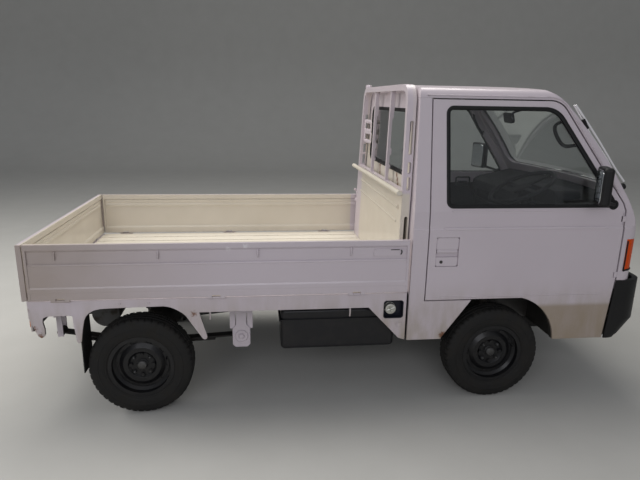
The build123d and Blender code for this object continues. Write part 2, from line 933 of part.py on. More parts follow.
steer_plane = Plane(origin=steer_centre, x_dir=(0, 1, 0), z_dir=steer_axis)
with BuildPart() as steering_wheel:
    with BuildSketch(Plane(origin=steer_centre, x_dir=steer_axis, z_dir=(0, 1, 0))):
        with Locations((0, steer_radius)):
            Circle(steer_rim)
    revolve(axis=Axis(steer_centre, steer_axis), revolution_arc=360)
    hub_foot = steer_plane.offset(-column_top_gap + 1)
    with BuildSketch(hub_foot):
        Circle(38)
    extrude(amount=column_top_gap - 1)
    with BuildSketch(steer_plane.offset(-14)):
        for angle in (0, 180, 270, 225):
            with Locations(Rotation(0, 0, angle) * Location((steer_radius / 2, 0))):
                if angle != 225:
                    Rectangle(steer_radius - 8, 26)
        Circle(52)
    extrude(amount=12)
    with BuildSketch(hub_foot):
        Circle(column_pin_radius + pin_gap)
    extrude(amount=column_top_gap - 10, mode=Mode.SUBTRACT)
save(steering_wheel.part, "steering_wheel")

# Gear lever and hand brake lever
brake_y = -driver_y - seat_wide / 2 - 35
with BuildPart() as levers:
    rod((cab_back_x + 630, 9, deck_z + 5), (cab_back_x + 738, -20, 860), 7)
    with Locations((cab_back_x + 742, -21, 872)):
        Sphere(22)
    with Locations((cab_back_x + 628, 10, deck_z + 14)):
        Cylinder(46, 28)
    rod((cab_back_x + 368, brake_y, deck_z + 34), (cab_back_x + 578, brake_y, deck_z + 104), 9)
    rod((cab_back_x + 578, brake_y, deck_z + 104), (cab_back_x + 658, brake_y, deck_z + 131), 15)
    block(cab_back_x + 328, cab_back_x + 428, brake_y - 15, brake_y + 15, deck_z, deck_z + 44)
save(levers.part, "levers")

# Seats, a cushion and a back each
with BuildPart() as seats:
    for y in (driver_y, -driver_y):
        cushion = polygon(
            [
                (cab_back_x + 238, deck_z),
                (cab_back_x + 693, deck_z),
                (cab_back_x + 703, deck_z + 118),
                (cab_back_x + 248, deck_z + 92),
            ]
        )
        side_prism(cushion, y - seat_wide / 2, y + seat_wide / 2)
        back = polygon(
            [
                (cab_back_x + 123, deck_z + 98),
                (cab_back_x + 243, deck_z + 96),
                (cab_back_x + 168, 1150),
                (cab_back_x + 133, 1180),
                (cab_back_x + 73, 1176),
                (cab_back_x + 76, 1140),
            ]
        )
        side_prism(back, y - seat_wide / 2 + 10, y + seat_wide / 2 - 10)
        rest = polygon(
            [
                (cab_back_x + 123, deck_z),
                (cab_back_x + 228, deck_z),
                (cab_back_x + 236, deck_z + 98),
                (cab_back_x + 123, deck_z + 99),
            ]
        )
        side_prism(rest, y - seat_wide / 2 + 55, y + seat_wide / 2 - 55)
save(seats.part, "seats")

# Wipers, one parked up the right pillar and one along the screen's foot
with BuildPart() as wipers:
    for pivot_y, points in wiper_arms.items():
        back = plan_radius - (plan_radius**2 - pivot_y**2) ** 0.5
        base_x = nose_face_x - 108 - back
        rod((base_x, pivot_y, 1149), (base_x + 36, pivot_y, 1172), 11)
        for start, end, radius in points:
            rod(start, end, radius)
    add(outer, mode=Mode.SUBTRACT)
save(wipers.part, "wipers")

# Ladder frame: two stepped rails
rail_out_y = rail_y + rail_wide / 2
rail_in_y = rail_y - rail_wide / 2
with BuildPart() as frame_rails:
    rail_view = polygon(
        [
            (rail_rear_x, rear_rail_low_z),
            (rail_rear_x, rear_rail_top_z),
            (cab_back_x - 122, rear_rail_top_z),
            (cab_back_x + 60, front_rail_top_z),
            (rail_front_x, front_rail_top_z),
            (rail_front_x, front_rail_low_z),
            (cab_back_x + 20, front_rail_low_z),
            (cab_back_x - 172, rear_rail_low_z),
        ]
    )
    side_prism(rail_view, rail_in_y, rail_out_y)
    side_prism(rail_view, -rail_out_y, -rail_in_y)
save(frame_rails.part, "frame_rails")

# Cross members between the rails, with eyes under the first and the last
with BuildPart() as frame_cross_members:
    # Columns: front x, low z, top z, of each cross member
    for x, z0, z1 in (
        (rail_rear_x + 40, rear_rail_low_z, rear_rail_top_z),
        (rear_axle_x - 317, rear_rail_low_z, rear_rail_low_z + 50),
        (rear_axle_x + 303, rear_rail_low_z, rear_rail_low_z + 50),
        (rear_axle_x + 793, rear_rail_low_z, rear_rail_low_z + 50),
        (cab_back_x - 212, rear_rail_low_z, rear_rail_low_z + 50),
        (rail_front_x - 10, front_rail_low_z, front_rail_top_z),
    ):
        block(x - 40, x, -rail_in_y, rail_in_y, z0, z1)
    # Columns: x of the eye, underside that it hangs from
    for x, top_z in ((rail_front_x - 30, front_rail_low_z), (rail_rear_x + 18, rear_rail_low_z)):
        for side in (-1, 1):
            low_y = side * eye_y - eye_thick / 2
            high_y = side * eye_y + eye_thick / 2
            eye_z = top_z - eye_drop
            half = eye_wide / 2
            block(x - half, x + half, low_y, high_y, eye_z, top_z + 1)
            rod((x, low_y, eye_z), (x, high_y, eye_z), half)
            rod((x, low_y - 1, eye_z), (x, high_y + 1, eye_z), eye_radius, mode=Mode.SUBTRACT)
save(frame_cross_members.part, "frame_cross_members")

# Spring hangers outside the rails, and the shackles' brackets behind them
with BuildPart() as spring_hangers:
    foot = hanger_foot_wide / 2
    neck = hanger_neck_wide / 2
    foot_low_z = spring_front_z - hanger_drop
    half_plate = [
        (foot - 16, foot_low_z),
        (foot, foot_low_z + 16),
        (foot, spring_front_z + 44),
        (neck, spring_front_z + 66),
        (neck, rear_rail_low_z + 1),
    ]
    mirrored_half = [(-x, z) for x, z in reversed(half_plate)]
    plate = polygon([(spring_front_x + x, z) for x, z in half_plate + mirrored_half])
    for side in (-1, 1):
        block(
            spring_front_x - hanger_channel_x,
            spring_front_x + hanger_channel_x,
            side * rail_out_y,
            side * hanger_out_y,
            rear_rail_low_z,
            rear_rail_top_z,
        )
        for way in (-1, 1):
            block(
                spring_front_x + way * (neck + 4),
                spring_front_x + way * hanger_channel_x,
                side * (hanger_out_y - 26),
                side * (hanger_out_y - 5),
                spring_front_z + 42,
                rear_rail_low_z + 1,
            )
        for y0, y1 in ((hanger_in_y - 5, hanger_in_y), (hanger_out_y - 5, hanger_out_y)):
            side_prism(plate, side * y0, side * y1)
        rod(
            (spring_front_x, side * (hanger_in_y - 14), spring_front_z),
            (spring_front_x, side * (hanger_out_y + 9), spring_front_z),
            9,
        )
        block(
            spring_rear_x - 30,
            spring_rear_x + 30,
            side * rail_out_y,
            side * (spring_y + 25),
            rear_rail_low_z,
            rear_rail_low_z + 60,
        )
        for y in (spring_y - 34, spring_y + 28):
            block(
                spring_rear_x - 14,
                spring_rear_x + 14,
                side * y,
                side * (y + 6),
                spring_rear_z - 20,
                rear_rail_low_z + 30,
            )
        rod(
            (spring_rear_x, side * (spring_y - 36), spring_rear_z),
            (spring_rear_x, side * (spring_y + 36), spring_rear_z),
            8,
        )
save(spring_hangers.part, "spring_hangers")

# Bed floor with raised ribs along it and sills across the frame
bed_floor_low_z = bed_floor_z - bed_floor_thick
bed_rear_x = tail_x + gate_thick + 10
with BuildPart() as bed_floor:
    block(bed_rear_x, bed_front_x, -bed_floor_y, bed_floor_y, bed_floor_low_z, bed_floor_z - rib_tall)
    for k in range(rib_count):
        y = (k - (rib_count - 1) / 2) * rib_pitch
        block(
            bed_rear_x,
            guard_rear_x - rib_end_gap,
            y - rib_wide / 2,
            y + rib_wide / 2,
            bed_floor_low_z,
            bed_floor_z,
        )
    for x in joist_x:
        block(
            x - joist_wide / 2,
            x + joist_wide / 2,
            -(skirt_y - skirt_thick),
            skirt_y - skirt_thick,
            rear_rail_top_z,
            bed_floor_low_z,
        )
save(bed_floor.part, "bed_floor")

# Gate hinges: a barrel and pins on the body, two barrels on the gate


def hinge_on(origin, x_dir, z_dir, kind, mode=Mode.ADD):
    """One gate hinge along a line, for use inside a part block."""
    half = gate_knuckle_long / 2
    line = Plane(origin=origin, x_dir=x_dir, z_dir=z_dir)
    # Columns: start along the line, length, radius
    parts = {
        "body": (
            (-half, 2 * half, gate_knuckle_radius),
            (-half - gate_leaf_long * 0.8, 2 * half + gate_leaf_long * 1.6, gate_pin_radius),
        ),
        "gate": (
            (-half - gate_leaf_long - pin_gap, gate_leaf_long, gate_knuckle_radius),
            (half + pin_gap, gate_leaf_long, gate_knuckle_radius),
        ),
        "bore": (
            (-half - gate_leaf_long - 1, 2 * (half + gate_leaf_long + 1), gate_pin_radius + pin_gap),
        ),
    }
    for start, length, radius in parts[kind]:
        with BuildSketch(line.offset(start)) as barrel:
            Circle(radius)
        extrude(barrel.sketch, amount=length, mode=mode)


side_hinge_y = side_y - hinge_line_in
tail_hinge_x = tail_x + hinge_line_in
leaf_half = gate_knuckle_long / 2 + gate_leaf_long + pin_gap
bracket_half = gate_knuckle_long / 2

# Bed skirts with the gates' hinge barrels
with BuildPart() as bed_skirts:
    skirt_view = polygon(
        [
            (rear_panel_x, skirt_top_z),
            (rear_panel_x, 560),
            (tail_x + 25.5, 527),
            (tail_x + 39.5, 488),
            (tail_x + 49.5, 464),
            (tail_x + 61.5, 455),
            (tail_x + 74.5, 459),
            (tail_x + 81.5, 472),
            (tail_x + 82.5, 500),
            (tail_x + 75.5, 538),
            (tail_x + 79.5, 558),
            (tail_x + 95.5, 566),
            (rear_axle_x - 417, skirt_low_z),
            (rear_axle_x - 309, skirt_low_z),
            (rear_axle_x - 305, 561),
            (rear_axle_x - 303, 512),
            (rear_axle_x - 297, 437),
            (rear_axle_x - 291, 422),
            (rear_axle_x - 280, 420),
            (rear_axle_x - 274, 429),
            (rear_axle_x - 264, 492),
            (rear_axle_x - 253, 540),
            (rear_axle_x - 243, 562),
            (rear_axle_x - 227, 579),
            (rear_axle_x - 203, 593),
            (rear_axle_x - 172, 600),
            (rear_axle_x - 127, 602),
            (rear_axle_x + 133, 606),
            (rear_axle_x + 157, 602),
            (rear_axle_x + 180, 594),
            (rear_axle_x + 202, 582),
            (rear_axle_x + 223, 568),
            (rear_axle_x + 241, 551),
            (rear_axle_x + 321, 424),
            (rear_axle_x + 330, 418),
            (rear_axle_x + 340, 421),
            (rear_axle_x + 345, 431),
            (rear_axle_x + 308, skirt_low_z),
            (tank_front_x - 164, skirt_low_z),
            (tank_front_x + 4, arch_rear_z + 3),
            (bed_front_x, arch_rear_z - 8),
            (bed_front_x, skirt_top_z),
        ]
    )
    for side in (-1, 1):
        y0 = side * skirt_y
        y1 = side * (skirt_y - skirt_thick)
        side_prism(skirt_view, min(y0, y1), max(y0, y1))
        for x in side_hinge_x:
            block(
                x - bracket_half,
                x + bracket_half,
                side * (skirt_y - 4),
                side * side_hinge_y,
                hinge_line_z - gate_knuckle_radius,
                hinge_line_z - 1,
            )
            hinge_on((x, side * side_hinge_y, hinge_line_z), (0, 1, 0), (1, 0, 0), "body")
    with BuildSketch(Plane.XZ.offset(skirt_y + 10)):
        with Locations((fuel_x, fuel_z)):
            RectangleRounded(fuel_wide, fuel_tall, 16)
    extrude(amount=-skirt_thick - 20, mode=Mode.SUBTRACT)
    block(
        rear_panel_x,
        rear_panel_x + skirt_thick,
        -(skirt_y - skirt_thick),
        skirt_y - skirt_thick,
        rear_panel_low_z,
        skirt_top_z,
    )
    for y in tail_hinge_y:
        block(
            tail_hinge_x,
            rear_panel_x + 4,
            y - bracket_half,
            y + bracket_half,
            hinge_line_z - gate_knuckle_radius,
            hinge_line_z - 1,
        )
        hinge_on((tail_hinge_x, y, hinge_line_z), (1, 0, 0), (0, 1, 0), "body")
save(bed_skirts.part, "bed_skirts")

# Fuel filler: a recessed dish with its cap
with BuildPart() as fuel_filler:
    with BuildSketch(Plane.XZ.offset(skirt_y - filler_depth)):
        with Locations((fuel_x, fuel_z)):
            RectangleRounded(fuel_wide - 2 * seat_gap, fuel_tall - 2 * seat_gap, 15.7)
    extrude(amount=8)
    with BuildSketch(Plane.XZ.offset(skirt_y - filler_depth + 7)):
        with Locations((fuel_x, fuel_z)):
            RectangleRounded(fuel_wide - 2 * seat_gap, fuel_tall - 2 * seat_gap, 15.7)
            RectangleRounded(fuel_wide - 8, fuel_tall - 8, 12, mode=Mode.SUBTRACT)
    extrude(amount=filler_depth - 9)
    rod(
        (fuel_cap_x, -(skirt_y - filler_depth + 6), fuel_z),
        (fuel_cap_x, -(skirt_y - filler_depth + 6) - 26, fuel_z),
        fuel_cap_radius,
    )
    neck_x = fuel_x - 20
    neck_y = tank_out_y - 46
    rod((neck_x, -(skirt_y - filler_depth + 1), fuel_z + 14), (neck_x, -neck_y, fuel_z + 14), 20)
    rod((neck_x, -neck_y - 8, fuel_z + 14), (neck_x, -neck_y - 8, tank_top_z + seat_gap), 18)
save(fuel_filler.part, "fuel_filler")

# Gates: a pressed panel with a rail along its top, hinged at its foot
face = gate_thick
gate_section = [
    (1, gate_low_z),
    (1, 690),
    (0, 697),
    (0, 714),
    (3, 722),
    (3, 828),
    (9, 838),
    (9, 898),
    (1, 908),
    (0, 914),
    (0, gate_top_z),
    (face, gate_top_z),
    (face, 906),
    (face - 8, 898),
    (face - 8, 706),
    (face, 694),
    (face, gate_low_z),
]
side_gate_rear_x = tail_x + gate_thick + gate_gap
side_gate_front_x = bed_front_x - 4
with BuildPart() as side_gate:
    with BuildSketch(Plane.YZ.offset(side_gate_rear_x)):
        add(polygon([(-side_y + inward, z) for inward, z in gate_section]))
    extrude(amount=side_gate_front_x - side_gate_rear_x)
    for x0, x1 in ((side_gate_rear_x, side_gate_rear_x + 12), (side_gate_front_x - 12, side_gate_front_x)):
        block(x0, x1, -side_y, -side_y + face, gate_low_z, gate_top_z)
    for x in side_hinge_x:
        for start in (-leaf_half, bracket_half + pin_gap):
            block(
                x + start,
                x + start + gate_leaf_long,
                -side_y + 1,
                -side_hinge_y + gate_knuckle_radius - 1,
                hinge_line_z,
                gate_low_z + 1,
            )
        hinge_on((x, -side_hinge_y, hinge_line_z), (0, 1, 0), (1, 0, 0), "gate")
        hinge_on((x, -side_hinge_y, hinge_line_z), (0, 1, 0), (1, 0, 0), "bore", Mode.SUBTRACT)
        block(
            x - bracket_half - 3,
            x + bracket_half + 3,
            -side_y - 1,
            -side_y + face + 1,
            gate_low_z - 1,
            gate_low_z + gate_notch,
            mode=Mode.SUBTRACT,
        )
save_pair(side_gate.part, "gate")

with BuildPart() as tail_gate:
    with BuildSketch(Plane.XZ.offset(-side_y)):
        add(polygon([(tail_x + inward, z) for inward, z in gate_section]))
    extrude(amount=2 * side_y)
    for side in (-1, 1):
        block(
            tail_x, tail_x + face, side * (side_y - 12), side * side_y, gate_low_z, gate_top_z
        )
    for y in tail_hinge_y:
        for start in (-leaf_half, bracket_half + pin_gap):
            block(
                tail_x + 1,
                tail_hinge_x + gate_knuckle_radius - 1,
                y + start,
                y + start + gate_leaf_long,
                hinge_line_z,
                gate_low_z + 1,
            )
        hinge_on((tail_hinge_x, y, hinge_line_z), (1, 0, 0), (0, 1, 0), "gate")
        hinge_on((tail_hinge_x, y, hinge_line_z), (1, 0, 0), (0, 1, 0), "bore", Mode.SUBTRACT)
        block(
            tail_x - 1,
            tail_x + face + 1,
            y - bracket_half - 3,
            y + bracket_half + 3,
            gate_low_z - 1,
            gate_low_z + gate_notch,
            mode=Mode.SUBTRACT,
        )
save(tail_gate.part, "tail_gate")

# Tail lamps on the rear panel
with BuildPart() as tail_lamps:
    for side in (-1, 1):
        with BuildSketch(Plane.YZ.offset(rear_panel_x - tail_lamp_proud)):
            with Locations((side * tail_lamp_y, tail_lamp_z)):
                RectangleRounded(tail_lamp_wide, tail_lamp_tall, 10)
        extrude(amount=tail_lamp_proud)
save(tail_lamps.part, "tail_lamps")

# Guard frame: a leaning hoop with a lower panel, a mid rail, bars and slotted posts
guard_foot_z = bed_floor_z - rib_tall
guard_plane = Plane(
    origin=(guard_rear_x, 0, guard_foot_z),
    x_dir=(0, 1, 0),
    z_dir=(cos(radians(guard_lean)), 0, -sin(radians(guard_lean))),
)
guard_tall = guard_top_z - guard_foot_z
mid_z = mid_rail_z - guard_foot_z
hoop_half = [(guard_foot_y, 0), (guard_shoulder_y, mid_z), (guard_top_y, guard_tall)]
with BuildPart() as guard_frame:
    with BuildSketch(guard_plane) as hoop:
        with BuildSketch() as hoop_outer:
            add(polygon(hoop_half + [(-y, z) for y, z in reversed(hoop_half)]))
            fillet(hoop_outer.vertices().sort_by(Axis.Y)[-2:], guard_corner)
        with BuildSketch(mode=Mode.SUBTRACT) as hoop_inner:
            inner_half = [
                (guard_foot_y - guard_bar, -50),
                (guard_foot_y - guard_bar, 0),
                (guard_shoulder_y - guard_bar, mid_z),
                (guard_top_y - guard_bar, guard_tall - guard_bar),
            ]
            add(polygon(inner_half + [(-y, z) for y, z in reversed(inner_half)]))
            fillet(hoop_inner.vertices().sort_by(Axis.Y)[-2:], guard_corner - guard_bar)
    extrude(amount=guard_depth)
    with BuildSketch(guard_plane):
        with Locations((0, mid_z / 2)):
            Rectangle(2 * (guard_shoulder_y - guard_bar / 2), mid_z)
    extrude(amount=guard_panel_thick)
    with BuildSketch(guard_plane):
        with Locations((0, mid_z - mid_rail_tall / 2)):
            Rectangle(2 * (guard_shoulder_y - guard_bar / 2), mid_rail_tall)
    extrude(amount=guard_depth * 0.7)
    with BuildSketch(guard_plane.offset(4)):
        for y in bar_y:
            with Locations((y, (mid_z + guard_tall) / 2 - 10)):
                Rectangle(bar_wide, guard_tall - mid_z)
    extrude(amount=bar_wide)
    with BuildSketch(Plane.XZ.offset(-900)):
        # Columns: height of the slot's middle above the floor, length of the slot
        for z, length in ((110, 150), (300, 180), (560, 70), (640, 60), (790, 170)):
            x = guard_rear_x + guard_depth * 0.62 + (z * tan(radians(guard_lean)))
            with Locations((x, guard_foot_z + z)):
                SlotOverall(length, guard_slot_wide, rotation=90 - guard_lean)
    extrude(amount=1800, mode=Mode.SUBTRACT)
    block(0, guard_rear_x + 100, -800, 800, 500, guard_foot_z, mode=Mode.SUBTRACT)
save(guard_frame.part, "guard_frame")

# Fuel tank with its seam and two straps to the frame rail
with BuildPart() as fuel_tank:
    block(tank_rear_x, tank_front_x, -tank_out_y, -tank_in_y, tank_low_z, tank_top_z)
    fillet(fuel_tank.edges(), 24)
    tank_seam_z = tank_top_z - 62
    block(
        tank_rear_x - 10,
        tank_front_x + 10,
        -tank_out_y - 10,
        -tank_in_y + 6,
        tank_seam_z,
        tank_seam_z + 6,
    )
    for x in (tank_rear_x + 130, tank_front_x - 150):
        block(
            x, x + 36, -tank_out_y + 20, -(rail_y + rail_wide / 2 + seat_gap), tank_top_z - 6, tank_top_z + 4
        )
        block(
            x,
            x + 36,
            -tank_in_y - 30,
            -(rail_y + rail_wide / 2 + seat_gap),
            tank_top_z - 30,
            tank_top_z + 4,
        )
save(fuel_tank.part, "fuel_tank")

# Battery in its tray on the left side
tray_rear_x = cab_back_x - 346
tray_front_x = cab_back_x - 118
with BuildPart() as battery:
    block(cab_back_x - 332, cab_back_x - 132, rail_out_y + 17, rail_out_y + 147, 392, 560)
    block(tray_rear_x, tray_front_x, rail_out_y + seat_gap, rail_out_y + 157, 384, 396)
    block(tray_rear_x, tray_front_x, rail_out_y + seat_gap, rail_out_y + 6, 384, 560)
    for y in (rail_out_y + 49, rail_out_y + 115):
        rod((cab_back_x - 172, y, 559), (cab_back_x - 172, y, 572), 9)
save(battery.part, "battery")

# Engine block, and the gearbox with the propeller shaft to the rear axle
engine_rear_x = cab_back_x + 168
engine_y = rail_in_y - 57
with BuildPart() as engine:
    block(engine_rear_x, engine_rear_x + 500, -engine_y, engine_y, 290, 560)
    for side in (-1, 1):
        mount_x = engine_rear_x + 200
        block(mount_x, mount_x + 80, side * engine_y, side * (rail_in_y - seat_gap), 300, 340)
save(engine.part, "engine")

with BuildPart() as driveline:
    with BuildSketch(Plane.YZ.offset(engine_rear_x - seat_gap)):
        with Locations((0, 400)):
            Circle(120)
    extrude(amount=-90)
    block(cab_back_x - 152, cab_back_x + 88, -80, 80, 330, 470)
    rod((cab_back_x - 142, 0, 400), (cab_back_x - 192, 0, 400), 46)
    rod((cab_back_x - 182, 0, 400), (rear_axle_x + 120, 0, axle_z + 26), 30)
    block(cab_back_x - 248, cab_back_x - 142, -118, 118, 318, 340)
    for y in (-106, 106):
        block(cab_back_x - 248, cab_back_x - 216, y - 12, y + 12, 330, rear_rail_low_z - seat_gap)
save(driveline.part, "driveline")

# Rear axle tube with its differential, backing plates and spindles
hub_face_y = wheel_y + rim_disc_out - rim_wall
drum_in_y = hub_face_y - drum_width
with BuildPart() as rear_axle:
    rod((rear_axle_x, -(drum_in_y - 16), axle_z), (rear_axle_x, drum_in_y - 16, axle_z), 36)
    rod((rear_axle_x, -hub_face_y - 12, axle_z), (rear_axle_x, hub_face_y + 12, axle_z), spindle_radius)
    with Locations((rear_axle_x, 0, axle_z)):
        Sphere(98)
    rod((rear_axle_x, 0, axle_z + 18), (rear_axle_x + 119, 0, axle_z + 25.8), 52)
    for side in (-1, 1):
        rod(
            (rear_axle_x, side * (drum_in_y - 16), axle_z),
            (rear_axle_x, side * (drum_in_y - 8), axle_z),
            drum_radius + 6,
        )
        block(
            rear_axle_x - 60,
            rear_axle_x + 60,
            side * (spring_y - spring_wide / 2 - 6),
            side * (spring_y + spring_wide / 2 + 6),
            axle_z + 20,
            axle_z + 42,
        )
save(rear_axle.part, "rear_axle")

# Leaf springs, three leaves each, on the axle's pads
spring_seat_z = axle_z + 42 + seat_gap
with BuildPart() as leaf_springs:
    for side in (-1, 1):
        y0 = min(side * (spring_y - spring_wide / 2), side * (spring_y + spring_wide / 2))
        # Columns: leaf number, reach forward, reach rearward
        for leaf, front, rear in ((2, 1.0, 1.0), (1, 0.72, 0.72), (0, 0.42, 0.42)):
            low = spring_seat_z + leaf * 9
            ahead = (spring_front_x - rear_axle_x) * front
            behind = (rear_axle_x - spring_rear_x) * rear
            rise_front = (spring_front_z - spring_seat_z - 22) * front**2
            rise_rear = (spring_rear_z - spring_seat_z - 22) * rear**2
            with BuildSketch(Plane.XZ.offset(-y0)) as leaf_view:
                with BuildLine():
                    bottom_rear = Line(
                        (rear_axle_x - 55, low), (rear_axle_x + 55, low)
                    )
                    front_low = Line(bottom_rear @ 1, (rear_axle_x + ahead, low + rise_front))
                    tip = Line(front_low @ 1, (rear_axle_x + ahead, low + rise_front + 9))
                    front_top = Line(tip @ 1, (rear_axle_x + 55, low + 9))
                    top = Line(front_top @ 1, (rear_axle_x - 55, low + 9))
                    rear_top = Line(top @ 1, (rear_axle_x - behind, low + rise_rear + 9))
                    heel = Line(rear_top @ 1, (rear_axle_x - behind, low + rise_rear))
                    Line(heel @ 1, bottom_rear @ 0)
                make_face()
            extrude(amount=-spring_wide)
        for x, z in ((spring_front_x, spring_front_z), (spring_rear_x, spring_rear_z)):
            rod((x, y0, z), (x, y0 + spring_wide, z), spring_eye_radius)
        for x in (rear_axle_x - 42, rear_axle_x + 28):
            block(x, x + 14, y0 - 3, y0 + spring_wide + 3, spring_seat_z + 2, spring_seat_z + 40)
        for x, z, pin in ((spring_front_x, spring_front_z, 9), (spring_rear_x, spring_rear_z, 8)):
            rod((x, y0 - 5, z), (x, y0 + spring_wide + 5, z), pin + pin_gap, mode=Mode.SUBTRACT)
save(leaf_springs.part, "leaf_springs")

# Exhaust: pipe, silencer across the tail and outlet
with BuildPart() as exhaust:
    rod((engine_rear_x - seat_gap, 200, 380), (rear_axle_x - 207, 200, 392), 20)
    silencer_x = rear_axle_x - 277
    rod((silencer_x, -230, 392), (silencer_x, 250, 392), 78)
    rod((silencer_x, -120, 380), (silencer_x - 200, -120, 360), 18)
    for y in (-160, 180):
        block(silencer_x - 66, silencer_x - 54, y - 18, y + 18, 420, rear_rail_low_z - seat_gap)
save(exhaust.part, "exhaust")

# Mud flaps behind the wheels
with BuildPart() as mudflaps:
    for side in (-1, 1):
        y0 = side * (skirt_y - 160)
        y1 = side * (skirt_y - skirt_thick - seat_gap)
        flap_x = rear_axle_x - 281
        block(flap_x, flap_x + 5, y0, y1, 247, 580)
        block(flap_x, flap_x + 24, y0, y1, 560, bed_sill_low_z)
save(mudflaps.part, "mudflaps")

# Wheels: a tyre, and a slotted steel rim with its brake drum
# Columns: distance out from the wheel's middle, radius
tyre_section = [
    (-55, rim_flange_radius - 14),
    (-55, rim_flange_radius + 2),
    (-tyre_width / 2, 206),
    (-66, 245),
    (-50, tyre_radius),
    (50, tyre_radius),
    (66, 245),
    (tyre_width / 2, 206),
    (55, rim_flange_radius + 2),
    (55, rim_flange_radius - 14),
]
rim_half = rim_width / 2
bead_radius = rim_flange_radius - 14 - seat_gap
disc_out = rim_disc_out
rim_section = [
    (-rim_half, bead_radius - rim_wall),
    (-rim_half, rim_flange_radius),
    (-rim_half + 5, rim_flange_radius),
    (-rim_half + 5, bead_radius),
    (-22, bead_radius),
    (-12, rim_well_radius),
    (18, rim_well_radius),
    (28, bead_radius),
    (rim_half - 5, bead_radius),
    (rim_half - 5, rim_flange_radius),
    (rim_half, rim_flange_radius),
    (rim_half, bead_radius - rim_wall),
    (32, bead_radius - rim_wall),
    (disc_out - 2, rim_well_radius - rim_wall),
    (disc_out - 2, 118),
    (disc_out + 12, 96),
    (disc_out + 12, 74),
    (disc_out, 62),
    (disc_out, spindle_radius + seat_gap),
    (disc_out - rim_wall, spindle_radius + seat_gap),
    (disc_out - rim_wall - drum_width, spindle_radius + seat_gap),
    (disc_out - rim_wall - drum_width, drum_radius - 8),
    (disc_out - rim_wall - drum_width, drum_radius),
    (disc_out - rim_wall, drum_radius),
    (disc_out - rim_wall - 2, rim_well_radius - rim_wall - 4),
    (-12, rim_well_radius - rim_wall),
    (-24, bead_radius - rim_wall),
]


def wheel_pieces(axle_x, side, end_name):
    """Makes the tyre and rim of one wheel and writes them."""
    wheel_plane = Plane(
        origin=(axle_x, side * wheel_y, axle_z), x_dir=(0, side, 0), z_dir=(-side, 0, 0)
    )
    spin = Axis((axle_x, side * wheel_y, axle_z), (0, 1, 0))
    with BuildPart() as tyre:
        with BuildSketch(wheel_plane) as ring:
            add(polygon(tyre_section))
        revolve(ring.sketch, axis=spin)
    save(tyre.part, f"tyre_{end_name}")
    with BuildPart() as rim:
        with BuildSketch(wheel_plane) as ring:
            add(polygon(rim_section))
        revolve(ring.sketch, axis=spin)
        face_plane = Plane(
            origin=(axle_x, side * (wheel_y + disc_out - rim_wall - 1), axle_z),
            x_dir=(1, 0, 0),
            z_dir=(0, side, 0),
        )
        with BuildSketch(face_plane) as slots:
            with PolarLocations(126, slot_count):
                RectangleRounded(12, 34, 5)
        extrude(slots.sketch, amount=30, mode=Mode.SUBTRACT)
        with BuildSketch(face_plane) as studs:
            with PolarLocations(stud_circle / 2, stud_count):
                RegularPolygon(10, 6)
        extrude(studs.sketch, amount=rim_wall + 15)
    save(rim.part, f"rim_{end_name}")


for axle_x, end in ((front_axle_x, "front"), (rear_axle_x, "rear")):
    for side, side_name in ((-1, "right"), (1, "left")):
        wheel_pieces(axle_x, side, f"{end}_{side_name}")

# Steering knuckles with strut, spindle, backing plate and steering arm
strut_top_z = deck_under_z - 32
with BuildPart() as knuckle:
    rod((front_axle_x, -steer_axis_y, 200), (front_axle_x, -steer_axis_y, strut_top_z), strut_radius)
    rod(
        (front_axle_x, -steer_axis_y, 372),
        (front_axle_x, -steer_axis_y, strut_top_z),
        strut_radius + 10,
    )
    block(
        front_axle_x - 30,
        front_axle_x + 30,
        -steer_axis_y - 22,
        -steer_axis_y + 16,
        ball_z + 22,
        axle_z + 50,
    )
    rod((front_axle_x, -steer_axis_y, ball_z - 24), (front_axle_x, -steer_axis_y, ball_z + 24), ball_radius)
    rod(
        (front_axle_x, -steer_axis_y - 10, axle_z),
        (front_axle_x, -hub_face_y - 12, axle_z),
        spindle_radius,
    )
    rod(
        (front_axle_x, -(drum_in_y - 16), axle_z),
        (front_axle_x, -(drum_in_y - 8), axle_z),
        drum_radius + 6,
    )
    block(
        front_axle_x - 118,
        front_axle_x,
        -steer_axis_y - 8,
        -steer_axis_y + 10,
        axle_z - 60,
        axle_z - 44,
    )
    rod(
        (front_axle_x, -steer_axis_y, strut_top_z - 30),
        (front_axle_x, -steer_axis_y, strut_top_z + 1),
        9 + pin_gap,
        mode=Mode.SUBTRACT,
    )
save_pair(knuckle.part, "knuckle")

